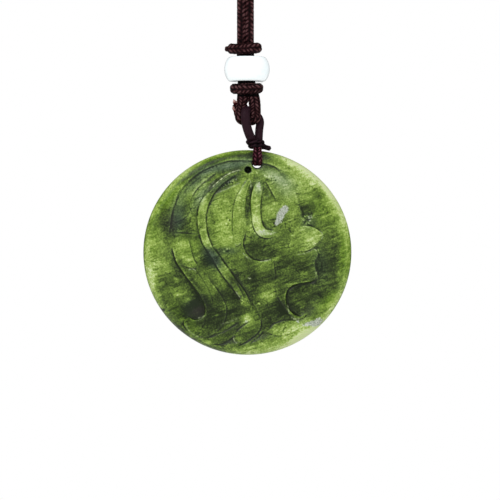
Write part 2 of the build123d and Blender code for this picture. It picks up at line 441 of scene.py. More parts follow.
def smoothSurface(across, along, look):
    lay = across * look["columns"] + along / look["pitch"]
    return np.ones_like(across), lay


def roundedPower(values, power):
    return np.sign(values) * np.abs(values) ** power


def cordTube(line, look, up=(0, 1, 0), surface=braidSurface, scale=None):
    # points, faces and values of a closed tube. look gives its half sizes, its sides and its braid's depth
    along, ups, sides = lineFrames(line, up)
    lengths = lineLengths(line)
    count = look["sides"]
    s, u = np.meshgrid(lengths, np.arange(count) / count, indexing="ij")
    height, lay = surface(u, s, look)
    power = look.get("square", 1.0)  # under 1 for a flat cord with fuller corners
    cosine, sine = roundedPower(np.cos(2 * np.pi * u), power), roundedPower(np.sin(2 * np.pi * u), power)
    shrink = 1 if scale is None else scale(lengths / lengths[-1])[:, None]
    reachUp = (look["halfUp"] - look["depth"] * (1 - height)) * shrink
    reachSide = (look["halfSide"] - look["depth"] * (1 - height)) * shrink
    points = line[:, None, :] + (reachUp * cosine)[..., None] * ups[:, None, :]
    points = points + (reachSide * sine)[..., None] * sides[:, None, :]
    last = (len(line) - 1) * count
    faces = []
    for low in range(0, last, count):
        high = low + count
        for index in range(count):
            after = (index + 1) % count
            faces.append((low + index, low + after, high + after, high + index))
    start, end = last + count, last + count + 1
    for index in range(count):
        after = (index + 1) % count
        faces.append((start, after, index))
        faces.append((end, last + index, last + after))
    caps = [line[0] - along[0] * look["cap"], line[-1] + along[-1] * look["cap"]]
    # relief sets the cord's colour: painted shade between the grains and painted highlights on their crests,
    # scaled by the look's shine
    values = {
        "relief": np.concatenate([height.ravel() * look.get("shine", 1.0), [0.0, 0.0]]),
        "lay": np.concatenate([lay.ravel(), [0.0, 0.0]]),
    }
    return np.concatenate([points.reshape(-1, 3), caps]), faces, values


def makeCord(name, tubes, material, body, slot, replaced=()):
    # one object of one or more tubes
    points, faces, values = [], [], {"relief": [], "lay": []}
    start = 0
    for tubePoints, tubeFaces, tubeValues in tubes:
        points.append(tubePoints)
        faces.extend(tuple(corner + start for corner in face) for face in tubeFaces)
        for key in values:
            values[key].append(tubeValues[key])
        start += len(tubePoints)
    cord = makeObject(name, np.concatenate(points), faces)
    addValues(cord.data, {key: np.concatenate(parts) for key, parts in values.items()})
    cord.data.materials.append(material)
    place(cord, body, slot, replaced)


def cordMaterial(name, finish):
    material, tree, shader = newMaterial(name, {
        "Roughness": finish["roughness"],
        "Specular IOR Level": finish["specular"],
    })
    fibre = useGroup(tree, cordFibre, {"Filaments": finish["filaments"], "Lean": finish["wander"]})
    shade = addShares(tree, readAttribute(tree, "relief"), (fibre["Mottle"], finish["mottle"]),
                      (fibre["Filament"], finish["filamentShade"]))
    tree.links.new(colorRamp(tree, shade, finish["colors"]), shader.inputs["Base Color"])
    addBump(tree, shader, fibre["Filament"], finish["bump"], finish["bumpDistance"])
    return material


# In each finish the colours run from painted shade deep between the grains to painted highlights at the
# crests
cordFinish = {
    "filaments": 4.0,
    "wander": 0.6,
    "mottle": 0.5,
    "filamentShade": 0.16,
    "colors": [  # from deep between the grains to their crests
        (0.0, srgb(1, 0, 1)), (0.4, srgb(10, 2, 4)), (0.75, srgb(38, 12, 15)), (0.93, srgb(60, 28, 30)),
        (1.0, srgb(98, 66, 68)),
    ],
    "roughness": 0.42,
    "specular": 0.08,
    "bump": 0.5,
    "bumpDistance": 0.00012,
}
loopFinish = dict(
    cordFinish,
    filaments=1.0,
    colors=[(0.0, srgb(2, 1, 1)), (0.6, srgb(18, 8, 13)), (1.0, srgb(44, 25, 33))],
    mottle=0.85,
)
strandFinish = dict(
    cordFinish,
    colors=[
        (0.0, srgb(2, 0, 1)), (0.4, srgb(14, 2, 5)), (0.75, srgb(40, 6, 13)), (0.93, srgb(62, 16, 26)),
        (1.0, srgb(112, 64, 76)),
    ],
)
frayFinish = dict(
    cordFinish,
    colors=[
        (0.0, srgb(6, 0, 1)), (0.45, srgb(44, 8, 11)), (0.75, srgb(96, 28, 30)), (1.0, srgb(222, 176, 168)),
    ],
    roughness=0.6,
)
braidedCord = cordMaterial("braidedPlumCord", cordFinish)
loopCord = cordMaterial("smoothPlumCord", loopFinish)
magentaStrand = cordMaterial("braidedMagentaStrand", strandFinish)
frayedFibre = cordMaterial("frayedRedFibre", frayFinish)
print("cord finishes made")


# Necklace cord: the neck loop, and the doubled cord down to its link

braid = {
    "halfUp": 1.05,
    "halfSide": 1.16,
    "columns": 4,
    "pitch": 1.05,
    "slant": 1.0,
    "depth": 0.2,
    "sides": 24,
    "cap": 0.1,
}
strandX = 0.98
neckLoop = {
    "fineStep": 0.1,
    "coarseStep": 0.21,
    "fineLength": 24.0,  # the stretch at both ends that is seen from near
    "half": [
        (strandX, 0, knotZ), (strandX, 0, -250.0), (strandX, 0, -240.0), (13.0, 0, -203.0), (30.0, 0, -161.0),
        (46.0, 0, -115.0), (56.0, 0, -67.0), (52.5, 0, -24.0), (25.0, 0, braid["halfUp"]),
    ],
}
doubledCord = {
    "look": dict(braid, sides=48, halfSide=1.5, columns=8, pitch=0.82, depth=0.18),
    "step": 0.1,
    "leftLeg": [
        (-strandX, 0, 0), (-strandX, 0, -2.0), (-0.75, 0, -9.0), (-0.5, 0, -11.4), (-0.8, 0, -13.4),
        (-1.0, 0, -15.6), (-1.2, 0, -17.3),
    ],
    "rightLeg": [
        (strandX, 0, 0), (strandX, 0, -2.0), (1.2, 0, -8.0), (1.7, 0, -10.7), (2.25, 0, -12.9),
        (2.3, 0, -15.4), (2.3, 0, -17.3),
    ],
    "strandWidth": 0.78,  # of the strands beside the bead, against the flattened legs below the lower knot
    "legReach": 0.265,  # legReach, legFade, gapAt and gapOver are shares of the cord's length
    "legFade": 0.03,
    "gapDepth": 0.2,  # the left leg is drawn in over the smooth loop's top, where light comes through
    "gapAt": 0.357,
    "gapOver": 0.011,
    # painted shade: over these stretches below the knot the cord's colour is darkened, its relief times shade
    "shaded": [(0.8, 2.6), (7.4, 8.9), (10.9, 11.7)],  # stretches in the dark below the knots and the bead
    "shade": 0.12,
}


def neckStep(station, whole):
    near = min(station, whole - station)
    return neckLoop["fineStep"] if near < neckLoop["fineLength"] else neckLoop["coarseStep"]


def legWidth(share):
    narrow = doubledCord["strandWidth"]
    leg = smoothStep((doubledCord["legReach"] - np.abs(share - 0.5)) / doubledCord["legFade"])
    gap = np.exp(-((share - doubledCord["gapAt"]) / doubledCord["gapOver"]) ** 2)
    return narrow + (1 - narrow) * leg - doubledCord["gapDepth"] * gap


def makeNecklaceCord():
    route = neckLoop["half"] + [(-x, y, z) for x, y, z in reversed(neckLoop["half"])]
    tube = cordTube(routeLine(route, neckStep), braid)
    makeCord("braided_neck_loop", [tube], braidedCord, "necklace", "braided_cord", ["neck_loop"])

    route = fromKnot(doubledCord["leftLeg"] + doubledCord["rightLeg"][::-1])
    line = routeLine(route, doubledCord["step"])
    points, faces, values = cordTube(line, doubledCord["look"], scale=legWidth)
    below = knotZ - points[:, 2]
    # painted shade where the cord runs in the dark below the knots and the bead
    for start, end in doubledCord["shaded"]:
        dark = (below > start) & (below < end)
        values["relief"] = np.where(dark, values["relief"] * doubledCord["shade"], values["relief"])
    makeCord("braided_doubled_cord", [(points, faces, values)], braidedCord, "necklace", "braided_cord",
             ["doubled_cord"])


makeNecklaceCord()
print("necklace cord made")


# Knots of the same cord, tied round the doubled cord above and below the bead: a full turn and a thinner band
# over it, each from its knot's own centre

turnLook = dict(
    braid, halfUp=1.0, halfSide=1.28, columns=6, pitch=0.9, depth=0.17, sides=40, cap=0.2, shine=0.97,
)
bandLook = dict(turnLook, halfUp=0.62, halfSide=0.6, columns=4, pitch=0.75, depth=0.16, sides=28, shine=1.1)
knots = {
    "upper": {
        "centre": (-0.35, 0.0, -0.05),
        "turn": [
            (-4.35, -0.7, -0.12), (-3.4, -1.5, -0.15), (-1.6, -1.95, -0.2), (0.4, -1.95, -0.12),
            (2.2, -1.75, 0.05), (3.4, -1.0, 0.15), (3.4, 0.4, 0.2), (2.3, 1.6, 0.1), (0.0, 1.85, 0.0),
            (-2.4, 1.6, 0.0), (-3.3, 0.6, 0.1),
        ],
        "band": [
            (-2.6, -0.9, 0.35), (-1.2, -1.35, 0.55), (0.8, -1.45, 0.65), (2.4, -1.25, 0.75), (3.3, -0.6, 0.7),
            (3.4, 0.4, 0.5), (2.2, 1.2, 0.4),
        ],
        "endWidth": 0.5,  # the turn's cut end is narrow and blunt
    },
    "lower": {
        "centre": (0.22, 0.0, -9.7),
        "turn": [
            (-1.5, 1.75, 0.1), (-2.9, 1.2, 0.0), (-3.1, 0.0, -0.1), (-2.7, -1.3, -0.15), (-1.0, -1.9, -0.25),
            (1.0, -1.9, -0.2), (2.6, -1.5, -0.05), (3.3, -0.3, 0.05), (2.9, 1.1, 0.1), (1.4, 1.8, 0.1),
            (-0.2, 1.9, 0.1),
        ],
        "band": [
            (-2.8, -0.3, 0.3), (-1.9, -1.2, 0.55), (-0.3, -1.5, 0.7), (1.3, -1.5, 0.75), (2.6, -1.1, 0.65),
            (3.0, -0.1, 0.5), (2.2, 1.0, 0.4),
        ],
        "endWidth": 1.0,
    },
}
knotEnd = {"from": 0.015, "over": 0.075}  # where the turn's end widens, as shares of its length
knotStep = 0.1


def makeKnot(name, knot):
    def turnWidth(share):
        widened = smoothStep((share - knotEnd["from"]) / knotEnd["over"])
        return knot["endWidth"] + (1 - knot["endWidth"]) * widened

    midX, midY, midZ = knot["centre"]
    tubes = []
    for part, look, scale in (("turn", turnLook, turnWidth), ("band", bandLook, None)):
        route = fromKnot([(x + midX, y + midY, z + midZ) for x, y, z in knot[part]])
        tubes.append(cordTube(routeLine(route, knotStep), look, scale=scale))
    makeCord(f"braided_{name}_knot", tubes, braidedCord, "necklace", "braided_cord", [f"{name}_knot"])


for name, knot in knots.items():
    makeKnot(name, knot)
print("knots made")


# White bead between the knots

bead = {
    "radius": 5.5,
    "endRadius": 4.4,
    "boreRadius": 2.5,
    "height": 5.9,
    "edge": 0.5,
    "sideEdge": 0.4,
    "sideShare": 0.85,  # of the barrel's bulging side, before its rounded edges take over
    "sideSteps": 14,
    "x": 0.38,
    "z": -5.02,
    "sides": 96,
    "pale": srgb(242, 250, 253),
    "milky": srgb(234, 245, 250),
    "grain": {"Cloud Scale": 260.0, "Fibre Scale": 500.0, "Fibre Turn": 1.2},
    "cloudShare": 0.8,
    "fibreShare": 0.3,
    "bump": 0.08,
    "bumpDistance": 0.0003,
    "polish": {
        # the emission is a painted glow that lifts the bead to white from every side
        "Emission Color": srgb(242, 250, 253),
        "Emission Strength": 0.26,
        "Roughness": 0.12,
        "Coat Weight": 0.3,
        "Coat Roughness": 0.05,
        "Subsurface Weight": 0.5,
        "Subsurface Radius": (1.0, 1.0, 1.0),
        "Subsurface Scale": 0.002,
    },
}


def beadMaterial():
    material, tree, shader = newMaterial("icyWhiteStone", bead["polish"])
    stone = useGroup(tree, stoneCloud, bead["grain"])
    factor = addShares(tree, 0.5, (stone["Cloud"], bead["cloudShare"]), (stone["Fibre"], bead["fibreShare"]))
    color = colorRamp(tree, factor, [(0.15, bead["milky"]), (0.8, bead["pale"])])
    tree.links.new(color, shader.inputs["Base Color"])
    addBump(tree, shader, stone["Cloud"], bead["bump"], bead["bumpDistance"])
    return material


def roundCorner(before, corner, after, radius):
    steps = 6
    before, corner, after = (np.array(spot, dtype=float) for spot in (before, corner, after))
    start = corner + radius * (before - corner) / np.linalg.norm(before - corner)
    end = corner + radius * (after - corner) / np.linalg.norm(after - corner)
    shares = np.linspace(0, 1, steps + 1)[:, None]
    return list((1 - shares) ** 2 * start + 2 * shares * (1 - shares) * corner + shares**2 * end)


def revolved(profile, sides):
    # a closed ring of the profile's (radius, height) points, turned about the vertical
    rows = len(profile)
    points, faces = [], []
    for index in range(sides):
        angle = 2 * math.pi * index / sides
        cosine, sine = math.cos(angle), math.sin(angle)
        points.extend((radius * cosine, radius * sine, height) for radius, height in profile)
    for index in range(sides):
        here, there = index * rows, (index + 1) % sides * rows
        for row in range(rows):
            after = (row + 1) % rows
            faces.append((there + row, there + after, here + after, here + row))
    return np.array(points), faces


def makeBead():
    half = bead["height"] / 2
    sag = bead["radius"] - bead["endRadius"]
    bulge = (half**2 + sag**2) / (2 * sag)
    widest = math.asin(half / bulge) * bead["sideShare"]
    side = [(bead["radius"] - bulge * (1 - math.cos(angle)), bulge * math.sin(angle))
            for angle in np.linspace(widest, -widest, bead["sideSteps"])]
    inner, outer, edge = bead["boreRadius"], bead["endRadius"], bead["edge"]
    profile = roundCorner((inner, 0), (inner, half), (outer, half), edge)
    profile += roundCorner((inner, half), (outer, half), side[0], bead["sideEdge"])
    profile += side
    profile += roundCorner(side[-1], (outer, -half), (inner, -half), bead["sideEdge"])
    profile += roundCorner((outer, -half), (inner, -half), (inner, 0), edge)
    points, faces = revolved(profile, bead["sides"])
    made = makeObject("icy_white_bead", points + np.array([bead["x"], 0, knotZ + bead["z"]]), faces)
    made.data.materials.append(beadMaterial())
    place(made, "necklace", "white_stone", ["white_bead"])


makeBead()
print("bead made")


# The pendant's own loop, its whipping and tail, and the strand through the stone

pendantLoop = {
    "look": {
        "halfUp": 0.98, "halfSide": 1.12, "columns": 3, "pitch": 1.6, "depth": 0.0, "sides": 32, "cap": 0.1,
    },
    "step": 0.12,
    "route": [
        (2.15, 0.6, -23.2), (0.35, -2.1, -20.2), (-0.2, -2.3, -14.9), (1.12, 2.3, -14.9), (3.8, 2.1, -16.9),
        (3.2, 1.2, -20.2), (3.2, -0.4, -23.2),
    ],
}
whipping = {
    "look": {
        "halfUp": 0.6, "halfSide": 0.66, "columns": 3, "pitch": 1.3, "slant": 0.8, "depth": 0.1, "sides": 24,
        "cap": 0.1, "shine": 0.88,
    },
    "step": 0.1,
    "turns": [
        {"z": -23.72, "left": 1.15, "right": 4.55, "depth": 2.3, "rise": 0.25},
        {"z": -22.8, "left": 0.65, "right": 4.1, "depth": 1.95, "rise": 0.3},
    ],
    "points": 13,  # of a turn's route, turnStep degrees from each other, from startAngle at the back
    "startAngle": 115,
    "turnStep": 32,
    "tailRoute": [(3.6, -1.2, -23.5), (4.4, -1.35, -23.8), (5.2, -1.3, -24.1), (6.15, -1.15, -24.3)],
    "tailStep": 0.08,
    "tailRoundFrom": 0.8596,  # the tail's tip is rounded over the last part of its length
    "tailRoundOver": 0.14,
}
tailLook = dict(whipping["look"], halfUp=0.56, halfSide=0.6, depth=0.0, cap=0.12, shine=0.5)
discStrand = {
    "look": {
        "halfUp": 0.6, "halfSide": 1.32, "columns": 8, "pitch": 0.8, "slant": 0.9, "depth": 0.18, "sides": 48,
        "cap": 0.05, "square": 0.75,
    },
    "step": 0.09,
    "x": 2.9,
    "footZ": -289.88,  # where it enters the hole, in the whole necklace
    "rimTop": -286.4,  # the rim's top edge under the strand
    "edgeRound": 2.4,  # radius of the rim's rounding, and half its straight edge
    "edgeSide": 0.6,
    "reach": 3.06,  # from the rounding's middle to the strand's
    "topHalf": 0.1,
    "narrowed": 0.26,  # by this share at its feet, from wideHalf of its length on
    "wideHalf": 0.063,
    "narrowOver": 0.42,
}


def wrapRoute(turn):
    # one thin turn round the loop's feet, rising to the right at the front
    middle = (turn["left"] + turn["right"]) / 2
    half = (turn["right"] - turn["left"]) / 2
    route = []
    for step in range(whipping["points"]):
        angle = math.radians(whipping["startAngle"] + step * whipping["turnStep"])
        y = turn["depth"] * math.sin(angle)
        rise = turn["rise"] * math.cos(angle) * (-1 if y > 0 else 1) * 0.5
        route.append((middle + half * math.cos(angle), y, turn["z"] + rise))
    return route


def tailWidth(share):
    over = np.clip((share - whipping["tailRoundFrom"]) / whipping["tailRoundOver"], 0, 0.95)
    return np.sqrt(np.clip(1 - over**2, 0, 1))


def strandWidth(share):
    beyond = np.abs(share - 0.5) - discStrand["wideHalf"]
    return 1 - discStrand["narrowed"] * smoothStep(beyond / discStrand["narrowOver"])


def strandRoute():
    # from the hole's front mouth up over the rim's rounded edge, and down the same way behind
    x, flat, reach = discStrand["x"], discStrand["edgeSide"], discStrand["reach"]
    edgeZ = discStrand["rimTop"] - discStrand["edgeRound"]
    side = reach * math.tan(math.radians(22.5))
    front = [
        (-discStrand["topHalf"], edgeZ + reach), (-flat - side, edgeZ + reach),
        (-flat - reach, edgeZ + side), (-flat - reach, discStrand["footZ"]),
    ]
    return [(x, y, z) for y, z in front] + [(x, -y, z) for y, z in reversed(front)]


def makePendantCords():
    line = routeLine(fromKnot(pendantLoop["route"]), pendantLoop["step"])
    tube = cordTube(line, pendantLoop["look"], surface=smoothSurface)
    makeCord("smooth_pendant_loop", [tube], loopCord, "pendant", "loop_cord", ["pendant_loop"])

    tubes = []
    for turn in whipping["turns"]:
        line = routeLine(fromKnot(wrapRoute(turn)), whipping["step"])
        tubes.append(cordTube(line, whipping["look"], up=(0, 0, 1)))
    line = routeLine(fromKnot(whipping["tailRoute"]), whipping["tailStep"])
    tubes.append(cordTube(line, tailLook, surface=smoothSurface, scale=tailWidth))
    makeCord("wound_whipping", tubes, loopCord, "pendant", "loop_cord", ["loop_wrap"])

    line = routeLine(strandRoute(), discStrand["step"])
    tube = cordTube(line, discStrand["look"], up=(0, 0, 1), scale=strandWidth)
    makeCord("braided_disc_strand", [tube], magentaStrand, "pendant", "strand_cord", ["disc_strand"])


makePendantCords()
print("pendant cords made")


# Trimmed end of the necklace cord, frayed into red tufts, and one loose hair by the lower knot

cutEnd = {
    "fibres": 110,
    "seed": 7,
    "tufts": [
        {"root": (-1.9, 1.1, -14.6), "tip": (-2.75, 0.7, -12.75), "width": 0.42},
        {"root": (-1.9, 1.0, -15.6), "tip": (-2.95, 0.6, -14.35), "width": 0.4},
        {"root": (-1.7, 1.2, -15.4), "tip": (-1.9, 0.9, -12.7), "width": 0.4},
    ],
    "spread": (0.4, 0.3, 0.25),  # of a fibre from its tuft's middle, in tuft widths across, deep and up
    "rootSpread": 0.5,
    "middleSpread": 0.5,  # beyond that of its ends
    "tipSpread": 0.8,
    "bend": 0.15,
    "uneven": 0.15,  # how far the tips' heights differ
    "fibreStep": 0.25,
    "fibre": {
        "halfUp": 0.085, "halfSide": 0.085, "columns": 1, "pitch": 1.0, "depth": 0.0, "sides": 5, "cap": 0.02,
    },
    "stubRoute": [(-1.7, 1.75, -17.2), (-2.15, 1.6, -16.0), (-2.4, 1.3, -14.6), (-2.55, 1.1, -13.6)],
    "stubStep": 0.1,
    "stub": {
        "halfUp": 0.62, "halfSide": 0.62, "columns": 6, "pitch": 0.8, "slant": 0.9, "depth": 0.14,
        "sides": 24, "cap": 0.1, "shine": 0.45,
    },
    # from the fibres' dark red at the root to painted highlights at the tips
    "rootShade": 0.42,
    "tipShade": 1.02,
}
looseHair = {
    "look": dict(cutEnd["fibre"], halfUp=0.05, halfSide=0.05),
    "route": [(3.5, -1.0, -8.7), (4.1, -1.3, -8.2), (4.7, -1.3, -7.9), (5.1, -1.1, -7.3)],
    "step": 0.15,
    "colors": [(0.0, srgb(205, 205, 200)), (1.0, srgb(225, 225, 222))],
}


def tuftSurface(across, along, look):
    # dark red at the root, and paler at the tip with a painted highlight
    share = along / along.max()
    return cutEnd["rootShade"] + (cutEnd["tipShade"] - cutEnd["rootShade"]) * share**3, across + along


def makeCutEnd():
    chance = np.random.default_rng(cutEnd["seed"])
    tubes = [cordTube(routeLine(fromKnot(cutEnd["stubRoute"]), cutEnd["stubStep"]), cutEnd["stub"])]
    for index in range(cutEnd["fibres"]):
        tuft = cutEnd["tufts"][index % len(cutEnd["tufts"])]
        wide = chance.normal(0, tuft["width"], 3) * cutEnd["spread"]
        bend = chance.normal(0, cutEnd["bend"], 3)
        start = tuft["root"] + wide * cutEnd["rootSpread"]
        end = tuft["tip"] + wide * cutEnd["tipSpread"] + (0, 0, chance.normal(0, cutEnd["uneven"]))
        middle = (start + end) / 2 + wide * cutEnd["middleSpread"] + bend
        line = routeLine(fromKnot([tuple(start), tuple(middle), tuple(end)]), cutEnd["fibreStep"])
        tubes.append(cordTube(line, cutEnd["fibre"], surface=tuftSurface))
    makeCord("frayed_cut_end", tubes, frayedFibre, "necklace", "frayed_cord", ["cut_end"])


def makeLooseHair():
    material, tree, shader = newMaterial("paleHair", {})
    pale = colorRamp(tree, readAttribute(tree, "lay"), looseHair["colors"])
    tree.links.new(pale, shader.inputs["Base Color"])
    line = routeLine(fromKnot(looseHair["route"]), looseHair["step"])
    tube = cordTube(line, looseHair["look"], surface=smoothSurface)
    makeCord("loose_hair", [tube], material, "necklace", "frayed_cord")


makeCutEnd()
makeLooseHair()
print("cut end made")


# Jade disc: carving. Its lines and places are across and up from the disc's centre, as seen from the front.

disc = {
    "x": 0.551,
    "z": -311.302,
    "radius": 25.0,
    "flat": 22.9,  # radius of the flat face
    "carved": 24.2,  # radius that the carving reaches, over the rounded edge
    "halfThickness": 3.0,
    "edgeSide": 0.6,  # half height of the straight edge
    "grid": 264,
    "groundDepth": 0.62,
    "stringHole": (2.249, 21.402, 1.3),  # place and radius
    "blindHole": (0.07, 19.85, 0.825),
    "boreRadius": 1.1,  # of the string hole inside its bevelled mouths
    "mouthDepth": 0.25,
    "bevel": 0.5,
    "blindDepth": 2.2,
    "blindTaper": 0.9,
    "holeSides": 48,
    "frontRings": 6,  # round the edge at the front and at the back, and then over the back by their radius
    "edgeRings": 8,
    "backRings": (0.93, 0.8, 0.6, 0.35, 0.12),
    "trueInside": 17.0,  # outside this radius the disc isn't quite round: wider than high, and a little aside
    "trueFade": 7.0,
    "wider": 0.0066,
    "lower": -0.0095,
    "shiftX": -0.08,
    "shiftZ": -0.08,
}
rasterStep = 0.12  # of the grid of heights that the face is read from
rasterReach = disc["radius"] + 0.5

# The sunk ground's outline, and below it the outline of the raised head and neck
groundOutline = [
    (-19.3, 4), (-18.4, 10), (-16, 15.4), (-11.2, 19.6), (-5, 22.1), (1, 22.3), (5.6, 21.3), (9.5, 19.4),
    (15.5, 16), (20.7, 10), (22.8, 3), (22.8, -5), (21, -11.5), (17, -16), (13, -18.4), (8, -20.8),
    (3, -21.9), (-3, -23), (-9, -22.7), (-14.5, -20), (-18.5, -15), (-21, -9), (-21.3, -2),
]
groundFeather = {  # how softly the ground falls from the rim, by the angle from the right, anticlockwise
    "angle": [0, 30, 55, 72, 120, 160, 180, 215, 240, 270, 300, 330, 360],
    "width": [8.5, 8.5, 6.0, 0.8, 0.6, 0.8, 7.0, 7.0, 3.0, 2.8, 3.4, 7.0, 8.5],
}
figureOutline = [
    (-1, 22.1), (4.5, 21.4), (8.5, 19.6), (10.6, 17.2), (11.6, 14.5), (12.6, 11), (13.2, 8), (14.4, 6.4),
    (16.8, 5.6), (18.3, 3.9), (17.2, 2.6), (16.2, 1.3), (16.9, -0.8), (16.2, -2.8), (16.7, -4.7),
    (16.8, -6.3), (14.4, -7.3), (12.1, -7.7), (10.3, -8.4), (9.3, -10.2), (9.4, -12.8), (10.3, -14.3),
    (11.8, -15.4), (13.9, -15.3), (13.3, -17.6), (10.3, -19.6), (7.3, -20.2), (4.2, -19.3), (2.5, -20.6),
    (0, -22.2), (-3, -22.9), (-8, -22.6), (-12, -21), (-14.8, -18.8), (-15.3, -16.5), (-13.4, -16.2),
    (-11.5, -16), (-10.4, -14.4), (-10.5, -12.6), (-12.2, -9.5), (-14.7, -6.1), (-17.2, -2.5), (-18.2, 1),
    (-18.9, 5), (-18.3, 9), (-17.5, 11.7), (-15.6, 15.6), (-12.9, 18.5), (-9, 20.6), (-4.8, 22),
]
figureLevel = -0.28

# Raised locks of the mane: the crest's height, its fall to the sides, half widths along it, and its line
maneLocks = {
    "main lock": (0, 0.24, [0.35, 0.7, 1, 1.1, 1.05, 1, 0.95, 0.6], [
        (-1.3, 19.4), (-3.6, 18.7), (-6, 17.2), (-8.2, 15.2), (-9.8, 12.9), (-10.7, 10.5), (-11.1, 8),
        (-10.9, 5.6), (-10.1, 3), (-8.9, 0.9), (-7.4, -1.6), (-5.6, -4.5), (-3.6, -7.2), (-1.9, -9.8),
        (-0.8, -11.8),
    ]),
    "wedge lock": (-0.14, 0.12, [0.2, 0.6, 0.95, 1.15, 1.25, 1, 0.5], [
        (0.6, 18), (-0.8, 15.9), (-1.7, 13.6), (-2.1, 10.5), (-2.2, 7), (-1.9, 3.8), (-2.2, 1.8),
    ]),
    "fore lock": (0, 0.3, [0.6, 1.2, 1.3, 1.2, 1.15, 1.05, 0.8, 0.35], [
        (2.6, 17.3), (2.5, 15.2), (2.1, 12.8), (2, 10), (2.4, 7.4), (3.7, 5), (5.4, 4.4), (6.8, 4.8),
    ]),
}

